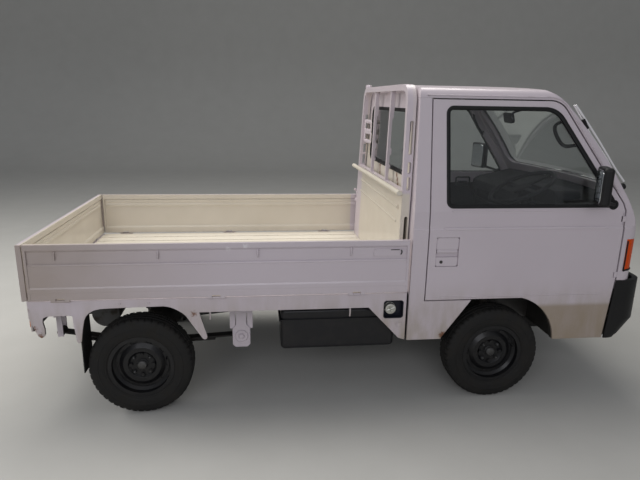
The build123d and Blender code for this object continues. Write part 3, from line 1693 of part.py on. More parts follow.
# Front cross member with lower arms, steering rack and the struts' top mounts
with BuildPart() as front_suspension:
    arm_top_z = ball_z + 12
    block(
        front_axle_x - 46,
        front_axle_x + 46,
        -(rail_y + rail_wide / 2),
        rail_y + rail_wide / 2,
        236,
        front_rail_low_z - seat_gap,
    )
    for side in (-1, 1):
        arm_view = polygon(
            [
                (side * (steer_axis_y - 190), 237),
                (side * (steer_axis_y - 140), 237),
                (side * (steer_axis_y - 32), arm_top_z),
                (side * (steer_axis_y + 24), arm_top_z),
                (side * (steer_axis_y + 24), arm_top_z - 28),
                (side * (steer_axis_y - 38), arm_top_z - 28),
                (side * (steer_axis_y - 190), 205),
            ]
        )
        front_prism(arm_view, front_axle_x - 22, front_axle_x + 22)
        rod(
            (front_axle_x, side * steer_axis_y, ball_z - 40),
            (front_axle_x, side * steer_axis_y, arm_top_z + 4),
            ball_radius + pin_gap,
            mode=Mode.SUBTRACT,
        )
        rod(
            (front_axle_x, side * steer_axis_y, strut_top_z + 14),
            (front_axle_x, side * steer_axis_y, deck_under_z - seat_gap),
            44,
        )
        rod(
            (front_axle_x, side * steer_axis_y, strut_top_z - 26),
            (front_axle_x, side * steer_axis_y, strut_top_z + 15),
            9,
        )
    rack_y = steer_axis_y - 200
    rod((front_axle_x - 90, -rack_y, 225), (front_axle_x - 90, rack_y, 225), 22)
    for y in (-rack_y + 50, rack_y - 50):
        block(front_axle_x - 100, front_axle_x - 40, y - 18, y + 18, 226, front_rail_low_z - seat_gap)
save(front_suspension.part, "front_suspension")
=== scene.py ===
# %% [markdown]
# A small cab-over work truck, dressed in Blender.
#
# The construction model gives every panel its true size and place. This file loads it as a
# fixed frame, gives each panel the finish that the real one has, and adds the parts that are
# too fine for the construction model: tread blocks, rope hooks, rubber seals, bolts, lenses
# and upholstery. Everything is in metres: +X is the front, +Y the left side, +Z is up.

import math

import bmesh
import bpy
from mathutils import Matrix, Vector


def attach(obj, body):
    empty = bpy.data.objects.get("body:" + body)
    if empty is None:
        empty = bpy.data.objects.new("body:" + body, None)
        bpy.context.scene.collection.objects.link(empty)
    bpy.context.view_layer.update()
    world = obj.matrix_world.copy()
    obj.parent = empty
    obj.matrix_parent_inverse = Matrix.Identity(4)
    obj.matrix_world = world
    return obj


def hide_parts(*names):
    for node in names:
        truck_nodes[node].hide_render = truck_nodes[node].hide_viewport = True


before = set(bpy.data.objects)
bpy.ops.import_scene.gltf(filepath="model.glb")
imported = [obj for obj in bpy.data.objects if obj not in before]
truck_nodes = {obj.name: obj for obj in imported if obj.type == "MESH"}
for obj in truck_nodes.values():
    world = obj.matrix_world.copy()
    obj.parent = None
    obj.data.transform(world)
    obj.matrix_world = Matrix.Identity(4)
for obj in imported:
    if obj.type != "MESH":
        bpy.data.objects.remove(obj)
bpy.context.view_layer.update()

# %% [markdown]
# Camera. The photograph was taken with a wide phone lens from the truck's right side, a
# little above the cab's belt line and looking down at the bed. A camera could be set by eye,
# but then no shape could be judged against the picture. This one was found by matching known
# corners of the truck to where they fall in the picture, so its numbers are odd on purpose.
# The rotation is built from the three directions of the lens.

# %% Camera
eye = Vector((-0.5137, -3.2533, 1.6203))
heading = math.radians(6.855)
tilt = math.radians(-14.724)
roll = math.radians(1.008)
focal_pixels = 533.57
picture_width = 640
sensor_width = 36

forward = Vector(
    (
        math.sin(heading) * math.cos(tilt),
        math.cos(heading) * math.cos(tilt),
        math.sin(tilt),
    )
)
level_right = Vector((math.cos(heading), -math.sin(heading), 0))
level_up = level_right.cross(forward)
lens_right = level_right * math.cos(roll) + level_up * math.sin(roll)
lens_up = level_up * math.cos(roll) - level_right * math.sin(roll)

lens = bpy.data.cameras.new("photo_lens")
lens.sensor_width = sensor_width
lens.lens = focal_pixels / picture_width * sensor_width
camera = bpy.data.objects.new("photo_camera", lens)
turn = Matrix((lens_right, lens_up, -forward)).transposed()
camera.matrix_world = Matrix.Translation(eye) @ turn.to_4x4()
bpy.context.scene.collection.objects.link(camera)
bpy.context.scene.camera = camera
bpy.context.scene.view_settings.view_transform = "Standard"
print("lens:", round(lens.lens, 2), "mm")

# %% [markdown]
# Finishes. A finish could be one colour, but then a panel looks like a toy. Each one here is
# a small graph of shader nodes, and the same few moves come back in all of them. These first
# helpers make a finish and reach its main shader. Values that are the same all over a surface
# are set on the shader itself, which keeps the exported model complete.

# %% Make a finish
def new_finish(name, roughness, metallic=0.0, **settings):
    """A new material with its main shader's plain values set."""
    finish = bpy.data.materials.new(name)
    finish.use_nodes = True
    shader = shader_of(finish)
    shader.inputs["Roughness"].default_value = roughness
    shader.inputs["Metallic"].default_value = metallic
    for words, value in settings.items():
        shader.inputs[words.replace("_", " ").title()].default_value = value
    return finish


def shader_of(finish):
    """The main shader of a finish."""
    return finish.node_tree.nodes["Principled BSDF"]


def join(finish, output, socket):
    """Joins one node's output to another's input."""
    finish.node_tree.links.new(output, socket)


def colour_of(finish, colour):
    """Sets the shader's base colour from a socket."""
    join(finish, colour, shader_of(finish).inputs["Base Color"])


print("finish helpers ready")

# %% [markdown]
# Places and noise. Dirt and wear depend on where a point is, so a finish asks for the place
# of the point being shaded in the truck's own frame, and sends it through soft noise. A
# stretched place turns round clouds into streaks.

# %% Places and noise
def place(finish):
    """The point being shaded, in metres in the truck's frame."""
    return finish.node_tree.nodes.new("ShaderNodeTexCoord").outputs["Object"]


def split_place(finish):
    """The x, y and z of the point being shaded."""
    split = finish.node_tree.nodes.new("ShaderNodeSeparateXYZ")
    join(finish, place(finish), split.inputs[0])
    return split.outputs["X"], split.outputs["Y"], split.outputs["Z"]


def stretched(finish, scale):
    """The place, with each direction scaled on its own, for streaks and grain."""
    mapping = finish.node_tree.nodes.new("ShaderNodeMapping")
    mapping.inputs["Scale"].default_value = scale
    join(finish, place(finish), mapping.inputs["Vector"])
    return mapping.outputs["Vector"]


def clouds(finish, scale, detail=4, roughness=0.55, stretch=None):
    """Soft noise between 0 and 1."""
    noise = finish.node_tree.nodes.new("ShaderNodeTexNoise")
    noise.inputs["Scale"].default_value = scale
    noise.inputs["Detail"].default_value = detail
    noise.inputs["Roughness"].default_value = roughness
    source = stretched(finish, stretch) if stretch else place(finish)
    join(finish, source, noise.inputs["Vector"])
    return noise.outputs["Fac"]


print("noise helpers ready")

# %% [markdown]
# Bands, sums and mixes. Noise and height are only numbers. A band turns a number into a mask
# that runs from 0 to 1, masks are multiplied where both must hold, and a mask then decides
# between two colours.

# %% Bands, sums and mixes
def between(finish, value, low, high, out_low=0.0, out_high=1.0):
    """Stretches the band from low to high of a value to a new band, and clips the rest."""
    band = finish.node_tree.nodes.new("ShaderNodeMapRange")
    band.interpolation_type = "SMOOTHSTEP"
    band.inputs["From Min"].default_value = low
    band.inputs["From Max"].default_value = high
    band.inputs["To Min"].default_value = out_low
    band.inputs["To Max"].default_value = out_high
    join(finish, value, band.inputs["Value"])
    return band.outputs["Result"]


def sums(finish, operation, first, second=0):
    """One arithmetic step on two values, each a socket or a number."""
    step = finish.node_tree.nodes.new("ShaderNodeMath")
    step.operation = operation
    for socket, value in zip(step.inputs, (first, second)):
        if isinstance(value, (int, float)):
            socket.default_value = value
        else:
            join(finish, value, socket)
    return step.outputs[0]


def times(finish, product, *factors):
    """The product of two or more values."""
    for factor in factors:
        product = sums(finish, "MULTIPLY", product, factor)
    return product


def stretch_of(finish, value, rise, fall):
    """1 between two narrow ramps of a value, and 0 outside them."""
    return times(finish, between(finish, value, *rise), between(finish, value, *fall))


def mixed(finish, amount, first, second):
    """A mix of two colours, each a socket or three numbers."""
    mix = finish.node_tree.nodes.new("ShaderNodeMix")
    mix.data_type = "RGBA"
    join(finish, amount, mix.inputs["Factor"])
    colour_inputs = [socket for socket in mix.inputs if socket.type == "RGBA"]
    for socket, colour in zip(colour_inputs, (first, second)):
        if isinstance(colour, tuple):
            socket.default_value = (*colour, 1)
        else:
            join(finish, colour, socket)
    return [socket for socket in mix.outputs if socket.type == "RGBA"][0]


print("mask helpers ready")

# %% [markdown]
# Edges and relief. Pressed sheet never has a knife edge, and paint wears first where an edge
# stands out. Both come from one node that rounds the surface's facing within a small radius:
# where the rounded facing differs from the true one, there is an edge.

# %% Edges and relief
edge_samples = 4


def rounded_facing(finish, radius):
    """The surface's facing, softened within a radius of each edge."""
    rounded = finish.node_tree.nodes.new("ShaderNodeBevel")
    rounded.samples = edge_samples
    rounded.inputs["Radius"].default_value = radius
    return rounded.outputs[0]


def worn_edges(finish, radius, flat=0.995, sharp=0.9):
    """1 along sharp outer and inner edges, 0 on flat places."""
    nodes = finish.node_tree.nodes
    facing = nodes.new("ShaderNodeVectorMath")
    facing.operation = "DOT_PRODUCT"
    true_facing = nodes.new("ShaderNodeNewGeometry").outputs["Normal"]
    join(finish, rounded_facing(finish, radius), facing.inputs[0])
    join(finish, true_facing, facing.inputs[1])
    return between(finish, facing.outputs["Value"], flat, sharp)


def relief(finish, height, strength, distance, edge_radius=0.0):
    """Sets the shader's relief from a height, on top of softly rounded edges."""
    bump = finish.node_tree.nodes.new("ShaderNodeBump")
    bump.inputs["Strength"].default_value = strength
    bump.inputs["Distance"].default_value = distance
    join(finish, height, bump.inputs["Height"])
    if edge_radius:
        join(finish, rounded_facing(finish, edge_radius), bump.inputs["Normal"])
    join(finish, bump.outputs[0], shader_of(finish).inputs["Normal"])


print("relief helpers ready")

# %% [markdown]
# Studio floor. A pale floor that curves up into a wall gives a plain ground with the truck's
# own shadow on it, and no line where the two meet. A plane and a second plane would show that
# line, so one mesh makes both: a side profile swept across the scene.

# %% Floor and wall
pale_ground = new_finish("pale_ground", roughness=0.85)
ground_clouds = clouds(pale_ground, 3.0, detail=6)
colour_of(pale_ground, mixed(pale_ground, ground_clouds, (0.46, 0.455, 0.43), (0.52, 0.515, 0.49)))

floor_front_y = -14.0
wall_y = 12.0
wall_top = 14.0
curve_radius = 3.0
curve_steps = 12
ground_half_width = 60
ground_profile = [(floor_front_y, 0.0)]
for step in range(curve_steps + 1):
    angle = math.radians(90 * step / curve_steps)
    across = wall_y - curve_radius + curve_radius * math.sin(angle)
    ground_profile.append((across, curve_radius - curve_radius * math.cos(angle)))
ground_profile.append((wall_y, wall_top))

mesh = bmesh.new()
left_edge = [mesh.verts.new((-ground_half_width, y, z)) for y, z in ground_profile]
right_edge = [mesh.verts.new((ground_half_width, y, z)) for y, z in ground_profile]
for low in range(len(ground_profile) - 1):
    face = mesh.faces.new((left_edge[low], right_edge[low], right_edge[low + 1], left_edge[low + 1]))
    face.smooth = True
ground_mesh = bpy.data.meshes.new("studio_ground")
mesh.to_mesh(ground_mesh)
mesh.free()
ground_mesh.materials.append(pale_ground)
ground = bpy.data.objects.new("studio_ground", ground_mesh)
bpy.context.scene.collection.objects.link(ground)
print("ground:", len(ground_mesh.polygons), "strips")

# %% [markdown]
# Lights. The deck where the truck was seen has rows of tubes overhead. Many small lamps would
# give many small shadows, so three large soft panels stand for them: one above, one from the
# camera's side and one behind the bed. A weak pale world fills what they don't reach.

# %% Lights
sky = bpy.data.worlds.new("studio_sky")
sky.use_nodes = True
sky_shader = sky.node_tree.nodes["Background"]
sky_shader.inputs["Color"].default_value = (0.80, 0.82, 0.86, 1)
sky_shader.inputs["Strength"].default_value = 0.34
bpy.context.scene.world = sky

# Panels: name, place, the point that it faces, size, power in watts, colour
light_panels = (
    ("roof_panel", (-0.6, 0.8, 4.6), (-0.3, 0.1, 0.6), (6.0, 2.2), 175, (1.0, 0.97, 0.92)),
    ("side_panel", (-1.5, -6.5, 3.4), (0.0, 0.0, 0.7), (6.0, 2.5), 122, (0.93, 0.94, 1.0)),
    ("rear_panel", (-6.0, 1.0, 3.5), (-1.0, 0.0, 0.8), (3.0, 2.5), 120, (1.0, 0.98, 0.95)),
)
for name, spot, aim, size, power, colour in light_panels:
    lamp = bpy.data.lights.new(name, "AREA")
    lamp.shape = "RECTANGLE"
    lamp.size, lamp.size_y = size
    lamp.energy = power
    lamp.color = colour
    holder = bpy.data.objects.new(name, lamp)
    holder.location = spot
    holder.rotation_euler = (Vector(aim) - Vector(spot)).to_track_quat("-Z", "Y").to_euler()
    bpy.context.scene.collection.objects.link(holder)
print("light panels:", len(light_panels))

# %% [markdown]
# Where the paint changes. Cab and bed share one pale paint with a cool lavender cast.
# The faces inside the bed that look at the load are painted cream: painted warm light that
# falls on them. The lower nose and the rear of the sides take a painted tan reflection of the
# floor, and inside the skirts and arches the paint turns nearly black. Those coats could be
# separate materials on separate faces, but the faces belong to the construction model and stay
# as they are. So masks in the truck's own frame say where each coat takes over.

# %% Paint masks
# Painted warm light: the faces inside the bed are made cream where the light falls on them.
def warm_lit_faces(finish):
    """1 where painted warm light turns the paint cream: the gates' inner sides, the guard and the cab's
    back.
    """
    x, y, z = split_place(finish)
    from_middle = sums(finish, "ABSOLUTE", y)
    # All that lies within the gates' outer skins and behind the guard
    gates = times(
        finish,
        between(finish, from_middle, 0.6835, 0.6815),
        stretch_of(finish, x, (-1.636, -1.632), (0.190, 0.185)),
    )
    # The guard's sheet below its rail, without the far post
    guard = times(
        finish,
        stretch_of(finish, x, (0.185, 0.190), (0.268, 0.264)),
        between(finish, z, 1.17, 1.15),
        between(finish, y, 0.455, 0.445),
        between(finish, from_middle, 0.655, 0.645),
    )
    # The cab's back panel between its pillars, fading out towards the roof
    cab_side = times(
        finish,
        stretch_of(finish, x, (0.264, 0.268), (0.290, 0.285)),
        between(finish, z, 1.70, 1.30, 0.25, 1.0),
        between(finish, from_middle, 0.600, 0.560),
    )
    faces = sums(finish, "MAXIMUM", gates, sums(finish, "MAXIMUM", guard, cab_side))
    return times(finish, faces, between(finish, z, 0.652, 0.660))


def underneath(finish):
    """1 inside the skirts and arches, where only the road looks."""
    x, y, z = split_place(finish)
    narrow = between(finish, sums(finish, "ABSOLUTE", y), 0.679, 0.672)
    below = between(finish, z, 0.640, 0.632)
    not_nose = between(finish, x, 1.47, 1.43)
    not_tail = between(finish, x, -1.632, -1.620)
    return times(finish, narrow, below, not_nose, not_tail)


def floor_reflection(finish):
    """1 where a painted tan reflection of the floor falls: the nose's lower edge, and the rear of the sides.
    """
    x, y, z = split_place(finish)
    nose = times(finish, between(finish, x, 0.90, 1.02), between(finish, z, 0.575, 0.545), 0.8)
    outer = between(finish, sums(finish, "ABSOLUTE", y), 0.684, 0.686)
    rear = times(finish, between(finish, x, -0.55, -1.65), outer, 0.65)
    return sums(finish, "MAXIMUM", nose, rear)


print("paint masks ready")

# %% [markdown]
# Rust and rubs. Rust starts where stones and water reach: at the rear corners of the skirt,
# on the wheel arch's lip, and as runs down the cab's back. Pure noise would scatter it evenly,
# so each spot has its own place and size, and noise only makes its edge ragged.

# %% Rust and rub spots
# Rust spots: x, y, z, radius
rust_spots = (
    (-1.614, -0.69, 0.505, 0.015),
    (-1.590, -0.69, 0.458, 0.020),
    (-1.632, -0.69, 0.600, 0.012),
    (-1.630, 0.30, 0.500, 0.035),
    (-0.842, -0.69, 0.560, 0.016),
    (0.470, -0.695, 0.400, 0.022),
    (-1.640, -0.66, 0.700, 0.014),
    (0.275, 0.148, 1.218, 0.018),
    (0.275, 0.144, 1.198, 0.016),
    (0.275, 0.139, 1.176, 0.016),
    (0.275, 0.134, 1.152, 0.017),
    (0.275, -0.273, 1.239, 0.018),
    (0.275, -0.282, 1.214, 0.016),
    (0.275, -0.300, 1.190, 0.016),
    (0.275, -0.318, 1.163, 0.016),
    (0.275, -0.338, 1.138, 0.018),
    (0.214, -0.55, 1.080, 0.012),
)

# Bright rubs where a rope or a load has worn the gates' rails: x, y, z, radius
rub_spots = (
    (-0.660, -0.690, 0.905, 0.010),
    (-0.575, -0.690, 0.918, 0.013),
    (-1.642, 0.200, 0.912, 0.012),
)
ragged_reach = 0.05
spot_core = 0.6
core_allowance = 0.022
edge_allowance = 0.032


def near_spots(finish, spots):
    """1 near any of the listed spots, with a ragged edge, and 0 elsewhere."""
    ragged = times(finish, clouds(finish, 90, detail=8, roughness=0.7), ragged_reach)
    total = None
    for x, y, z, radius in spots:
        away = finish.node_tree.nodes.new("ShaderNodeVectorMath")
        away.operation = "DISTANCE"
        join(finish, place(finish), away.inputs[0])
        away.inputs[1].default_value = (x, y, z)
        shaken = sums(finish, "ADD", away.outputs["Value"], ragged)
        core = radius * spot_core + core_allowance
        spot = between(finish, shaken, core, radius + edge_allowance, 1.0, 0.0)
        total = spot if total is None else sums(finish, "MAXIMUM", total, spot)
    return total


print("spots:", len(rust_spots), "of rust and", len(rub_spots), "rubs")

# %% [markdown]
# Body paint. Real paint on a working truck isn't one colour: it is lighter where it is
# polished, dusty low down, worn on its edges, and it has a fine orange-peel surface under a
# clear gloss. The layers are laid over each other in turn: paint, painted warm light, dust,
# the painted floor reflection, wear, painted shade at the floor's edges, the dark underside and rust.

# %% Body paint
paint_light = (0.61, 0.545, 0.59)
paint_deep = (0.54, 0.478, 0.515)
# Cream of the painted warm light inside the bed
lit_cream_light = (0.68, 0.63, 0.55)
lit_cream_deep = (0.55, 0.50, 0.42)
road_dust = (0.34, 0.285, 0.215)
# Tan of the painted floor reflection
reflection_tan = (0.29, 0.225, 0.155)
worn_primer = (0.16, 0.13, 0.11)
bright_rub = (0.80, 0.78, 0.80)
# Painted shade in the gaps at the floor's outer edges
painted_gap_shade = (0.10, 0.09, 0.08)
# Nearly black for the underside; at the floor's edges it is painted shade
underside_dark = (0.030, 0.027, 0.024)
rust_dark = (0.075, 0.030, 0.014)
rust_bright = (0.26, 0.095, 0.032)
dust_depth = 0.34


def paint_finish(name, light, deep, dust_top, gloss, kind="body"):
    """Old gloss paint: drifting colour, painted warm light, dust low down and worn edges. Kind: body, floor
    or bracket.
    """
    finish = new_finish(name, roughness=gloss, coat_weight=0.30, coat_roughness=0.12)
    height = split_place(finish)[2]
    colour = mixed(finish, clouds(finish, 2.2, detail=5), light, deep)
    if kind != "floor":
        # Painted warm light: cream on the faces inside the bed
        lit_cream = mixed(finish, clouds(finish, 3.0, detail=6), lit_cream_light, lit_cream_deep)
        colour = mixed(finish, warm_lit_faces(finish), colour, lit_cream)
    fine = between(finish, clouds(finish, 38, detail=8, roughness=0.65), 0.62, 0.80)
    colour = mixed(finish, times(finish, fine, 0.25), colour, deep)
    low_down = between(finish, height, dust_top, dust_top - dust_depth)
    streaks = clouds(finish, 5, detail=6, roughness=0.6, stretch=(3.0, 3.0, 0.8))
    dusty = times(finish, low_down, between(finish, streaks, 0.20, 0.70), 0.8)
    colour = mixed(finish, dusty, colour, road_dust)
    if kind == "body":
        # Painted reflection: a tan reflection of the floor on the lower nose and the rear of the sides
        uneven = between(finish, clouds(finish, 4), 0.2, 0.7, 0.75, 1.0)
        colour = mixed(finish, times(finish, floor_reflection(finish), uneven), colour, reflection_tan)
    patchy = between(finish, clouds(finish, 24, detail=6, roughness=0.7), 0.52, 0.64)
    rubbed = times(finish, worn_edges(finish, 0.004), patchy, 0.45)
    colour = mixed(finish, rubbed, colour, worn_primer)
    if kind == "floor":
        # Painted shade in the gaps along the floor's outer edges, and darker under the floor
        from_middle = sums(finish, "ABSOLUTE", split_place(finish)[1])
        colour = mixed(finish, between(finish, from_middle, 0.679, 0.681), colour, painted_gap_shade)
        colour = mixed(finish, between(finish, height, 0.648, 0.643), colour, underside_dark)
    if kind == "body":
        # Nearly black inside the skirts and arches
        colour = mixed(finish, underneath(finish), colour, underside_dark)
        rust_tone = mixed(finish, clouds(finish, 120, detail=6), rust_dark, rust_bright)
        colour = mixed(finish, near_spots(finish, rust_spots), colour, rust_tone)
        colour = mixed(finish, times(finish, near_spots(finish, rub_spots), 0.55), colour, bright_rub)
    colour_of(finish, colour)
    sheen = between(finish, clouds(finish, 9), 0.3, 0.7, gloss, gloss + 0.10)
    rough = sums(finish, "ADD", times(finish, dusty, 0.35), sheen)
    join(finish, rough, shader_of(finish).inputs["Roughness"])
    relief(finish, clouds(finish, 420, detail=3), 0.10, 0.0012, edge_radius=0.0025)
    return finish


body_paint = paint_finish("body_paint", paint_light, paint_deep, 0.74, 0.30)
hanger_paint = paint_finish("hanger_paint", paint_light, paint_deep, 0.30, 0.40, "bracket")
bed_paint = paint_finish("bed_paint", (0.78, 0.73, 0.635), (0.66, 0.61, 0.52), 0.40, 0.42, "floor")
# Painted warm light: a cream, lit copy of the body paint for the guard's added pieces
guard_lit_cream = paint_finish("guard_lit_cream", (0.70, 0.655, 0.56), (0.60, 0.555, 0.46), 0.40, 0.42, "bracket")
print("paints: 4")

# %% [markdown]
# Painted panels. The frame's nodes come in plain grey. A finish is given by filling the
# node's own material slot, which leaves its mesh and its place alone.

# %% Paint the panels
def dress(names, finish):
    """Gives the named CAD nodes a finish. The names are one string with spaces."""
    for name in names.split():
        data = truck_nodes[name].data
        data.materials.clear()
        data.materials.append(finish)


dress("cab_back cab_roof cab_front cab_floor door_panel_right door_panel_left", body_paint)
dress("bed_skirts guard_frame gate_right gate_left tail_gate", body_paint)
dress("bed_floor", bed_paint)
dress("spring_hangers", hanger_paint)
print("painted 13 panels")

# %% [markdown]
# Black steel, rubber and cast parts. Wheels, tank and axle are painted black, but what the
# road throws up dulls them. One function makes them all: each has a clean tone, a dusty tone
# that gathers in clouds, a sheen that changes with the dust, and a fine grain.

# %% Black and metal finishes
def dull_finish(name, tone, dusty_tone, roughness, dust, grain=180, metallic=0.0, coat=0.0, edge=0.002):
    """A dark or metal surface with clouds of dust and a fine grain."""
    finish = new_finish(name, roughness, metallic, coat_weight=coat, coat_roughness=0.15)
    shader_of(finish).inputs["Specular IOR Level"].default_value = 0.30
    patches = between(finish, clouds(finish, 14, detail=7, roughness=0.62), 0.42, 0.72)
    patches = times(finish, patches, dust)
    colour_of(finish, mixed(finish, patches, tone, dusty_tone))
    rough = between(finish, patches, 0.0, 0.6, roughness, min(1, roughness + 0.3))
    join(finish, rough, shader_of(finish).inputs["Roughness"])
    relief(finish, clouds(finish, grain, detail=4), 0.16, 0.0012, edge_radius=edge)
    return finish


steel_tone = (0.62, 0.62, 0.58)
steel_dust = (0.36, 0.34, 0.29)
wheel_black = dull_finish("wheel_black", (0.006, 0.006, 0.007), (0.022, 0.020, 0.018), 0.38, 0.35, coat=0.15)
tank_black = dull_finish("tank_black", (0.008, 0.008, 0.010), (0.030, 0.027, 0.024), 0.34, 0.30, coat=0.15)
chassis_black = dull_finish("chassis_black", (0.014, 0.013, 0.012), (0.05, 0.042, 0.033), 0.6, 0.7)
cast_grey = dull_finish("cast_grey", (0.09, 0.09, 0.09), (0.06, 0.045, 0.030), 0.55, 0.7, metallic=0.7)
cap_steel = dull_finish("cap_steel", steel_tone, steel_dust, 0.34, 0.4, metallic=0.9)
filler_steel = dull_finish("filler_steel", steel_tone, steel_dust, 0.34, 0.4, metallic=0.9)
nut_steel = dull_finish("nut_steel", (0.10, 0.10, 0.10), (0.05, 0.04, 0.03), 0.42, 0.5, metallic=0.8)
mirror_silver = dull_finish(
    "mirror_silver", (0.62, 0.64, 0.66), (0.50, 0.50, 0.50), 0.06, 0.2, metallic=1.0, edge=0.0
)
wiper_silver = dull_finish("wiper_silver", (0.86, 0.85, 0.86), (0.60, 0.59, 0.57), 0.40, 0.2, metallic=0.2)
trim_black = dull_finish("trim_black", (0.007, 0.007, 0.008), (0.018, 0.017, 0.016), 0.42, 0.4, grain=600)
seal_rubber = dull_finish("seal_rubber", (0.008, 0.008, 0.009), (0.024, 0.023, 0.022), 0.55, 0.4, grain=500)
cabin_grey = dull_finish("cabin_grey", (0.012, 0.013, 0.016), (0.022, 0.022, 0.025), 0.62, 0.3, grain=700)
seat_vinyl = dull_finish("seat_vinyl", (0.020, 0.021, 0.026), (0.035, 0.035, 0.038), 0.55, 0.3, grain=500)
tyre_rubber = dull_finish("tyre_rubber", (0.011, 0.0105, 0.010), (0.030, 0.027, 0.023), 0.72, 0.5, grain=350)
flap_rubber = dull_finish("flap_rubber", (0.012, 0.012, 0.012), (0.055, 0.048, 0.040), 0.7, 0.7, grain=200)
plate_yellow = dull_finish("plate_yellow", (0.72, 0.50, 0.03), (0.45, 0.33, 0.10), 0.40, 0.4, grain=300)

dress("rim_front_right rim_front_left rim_rear_right rim_rear_left", wheel_black)
dress("tyre_front_right tyre_front_left tyre_rear_right tyre_rear_left", tyre_rubber)
dress("fuel_tank", tank_black)
dress("frame_rails frame_cross_members leaf_springs rear_axle", chassis_black)
dress("front_suspension knuckle_right knuckle_left", chassis_black)
dress("engine driveline exhaust", cast_grey)
dress("wipers", wiper_silver)
dress("front_bumper grille battery door_mirror_right door_mirror_left", trim_black)
dress("dashboard steering_column levers steering_wheel door_trim_right door_trim_left", cabin_grey)
dress("seats", seat_vinyl)
dress("mudflaps", flap_rubber)
dress("number_plates", plate_yellow)
print("dull finishes: 16")

# %% [markdown]
# Fuel cap. The bright cap sits in a dark dish, and both are one node of the frame. A circle
# round the cap's middle, measured in the truck's frame, divides the two tones, and the metal
# stops where the dish begins.

# %% Fuel cap and dish
cap_x = 0.180
cap_z = 0.554
cap_reach = 0.0300
# In square metres, since the distance is compared without its root
cap_rim_blur = 0.00003
dish_dark = (0.010, 0.011, 0.020)

x, y, z = split_place(filler_steel)
across = sums(filler_steel, "POWER", sums(filler_steel, "ADD", x, -cap_x), 2)
upward = sums(filler_steel, "POWER", sums(filler_steel, "ADD", z, -cap_z), 2)
from_cap = sums(filler_steel, "ADD", across, upward)
in_cap = between(filler_steel, from_cap, cap_reach**2 + cap_rim_blur, cap_reach**2)
cap_tone = shader_of(filler_steel).inputs["Base Color"].links[0].from_socket
colour_of(filler_steel, mixed(filler_steel, in_cap, dish_dark, cap_tone))
join(filler_steel, times(filler_steel, in_cap, 0.9), shader_of(filler_steel).inputs["Metallic"])
dress("fuel_filler", filler_steel)
print("cap across:", 2 * cap_reach, "m")

# %% [markdown]
# Glass and lenses. Window glass is clear with a slight green edge; a lamp's lens is moulded
# plastic, ribbed inside and coloured through. A plain see-through mix would lose their
# thickness, so both let light through the shader's transmission. The ribs stand upright. The
# tail lamp is one moulding in three colours, which change along the truck's width.

# %% Glass and lens finishes
def clear_finish(name, tint, roughness, see_through, specular, ribs=None):
    """Glass or lens plastic. Ribs are how close they stand along x, y and z."""
    finish = new_finish(name, roughness=roughness, transmission_weight=see_through)
    shader_of(finish).inputs["IOR"].default_value = 1.45
    shader_of(finish).inputs["Specular IOR Level"].default_value = specular
    colour_of(finish, mixed(finish, clouds(finish, 6), tint, tuple(0.94 * part for part in tint)))
    if ribs:
        wave = finish.node_tree.nodes.new("ShaderNodeTexWave")
        wave.inputs["Scale"].default_value = 1.0
        join(finish, stretched(finish, ribs), wave.inputs["Vector"])
        relief(finish, wave.outputs["Fac"], 0.5, 0.002)
    else:
        relief(finish, clouds(finish, 30), 0.03, 0.001)
    return finish


window_glass = clear_finish("window_glass", (0.90, 0.93, 0.92), 0.02, 1.0, 0.18)
amber_lens = clear_finish("amber_lens", (0.72, 0.075, 0.002), 0.30, 0.10, 0.25, ribs=(16, 16, 0))
clear_lens = clear_finish("clear_lens", (0.85, 0.87, 0.88), 0.08, 0.7, 0.5, ribs=(0, 14, 0))

tail_lens = new_finish("tail_lens", roughness=0.15, transmission_weight=0.35)
from_middle = sums(tail_lens, "ABSOLUTE", split_place(tail_lens)[1])
amber_from = between(tail_lens, from_middle, 0.596, 0.598)
clear_within = between(tail_lens, from_middle, 0.494, 0.492)
lens_colour = mixed(tail_lens, clouds(tail_lens, 8), (0.50, 0.012, 0.010), (0.42, 0.010, 0.009))
lens_colour = mixed(tail_lens, amber_from, lens_colour, (0.85, 0.22, 0.015))
colour_of(tail_lens, mixed(tail_lens, clear_within, lens_colour, (0.80, 0.82, 0.82)))
relief(tail_lens, clouds(tail_lens, 160), 0.3, 0.001)

dress("windscreen rear_window door_glass_right door_glass_left", window_glass)
dress("corner_lamps", amber_lens)
dress("tail_lamps", tail_lens)
dress("headlamps", clear_lens)
print("glass and lenses: 4")

# %% [markdown]
# Handing a piece over. Every piece below is a mesh that is built point by point, so that it
# fits the panels to the millimetre. One function finishes them all: it smooths the faces,
# keeps the sharp folds sharp, gives the finish, and lets the piece ride on the body that it
# moves with. A second one joins two rows of points, which is how nearly every piece grows.

# %% Hand a piece over
sides = (("right", -1), ("left", 1))


def hand_over(name, mesh, finish, body, crease=35):
    """Makes a piece from a mesh, shades it, and lets it ride on a body."""
    bmesh.ops.recalc_face_normals(mesh, faces=mesh.faces)
    for face in mesh.faces:
        face.smooth = True
    for edge in mesh.edges:
        if edge.is_manifold and edge.calc_face_angle() > math.radians(crease):
            edge.smooth = False
    data = bpy.data.meshes.new(name)
    mesh.to_mesh(data)
    mesh.free()
    data.materials.append(finish)
    piece = bpy.data.objects.new(name, data)
    bpy.context.scene.collection.objects.link(piece)
    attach(piece, body)
    return piece


def join_rows(mesh, here, there, closed=True):
    """Joins two rows of points with faces."""
    count = len(here)
    for row in range(count if closed else count - 1):
        after = (row + 1) % count
        mesh.faces.new((here[row], here[after], there[after], there[row]))


print("pieces can be handed over")

# %% [markdown]
# Tyres. A light truck's tyre has three grooves round it and short cuts across its shoulders,
# a wall with a scuff rib and a bead that sits on the rim. A bump map would leave the tyre's
# outline smooth, so the section is turned round the axle in 240 steps, and every fifth step
# is cut a little deeper at the shoulders, which makes the blocks. It replaces the plain ring
# of the construction model.

# %% Treaded tyres
axle_z = 0.265
wheel_x = {"front": 0.777, "rear": -1.123}
wheel_y = 0.600
tyre_steps = 240
steps_a_block = 5

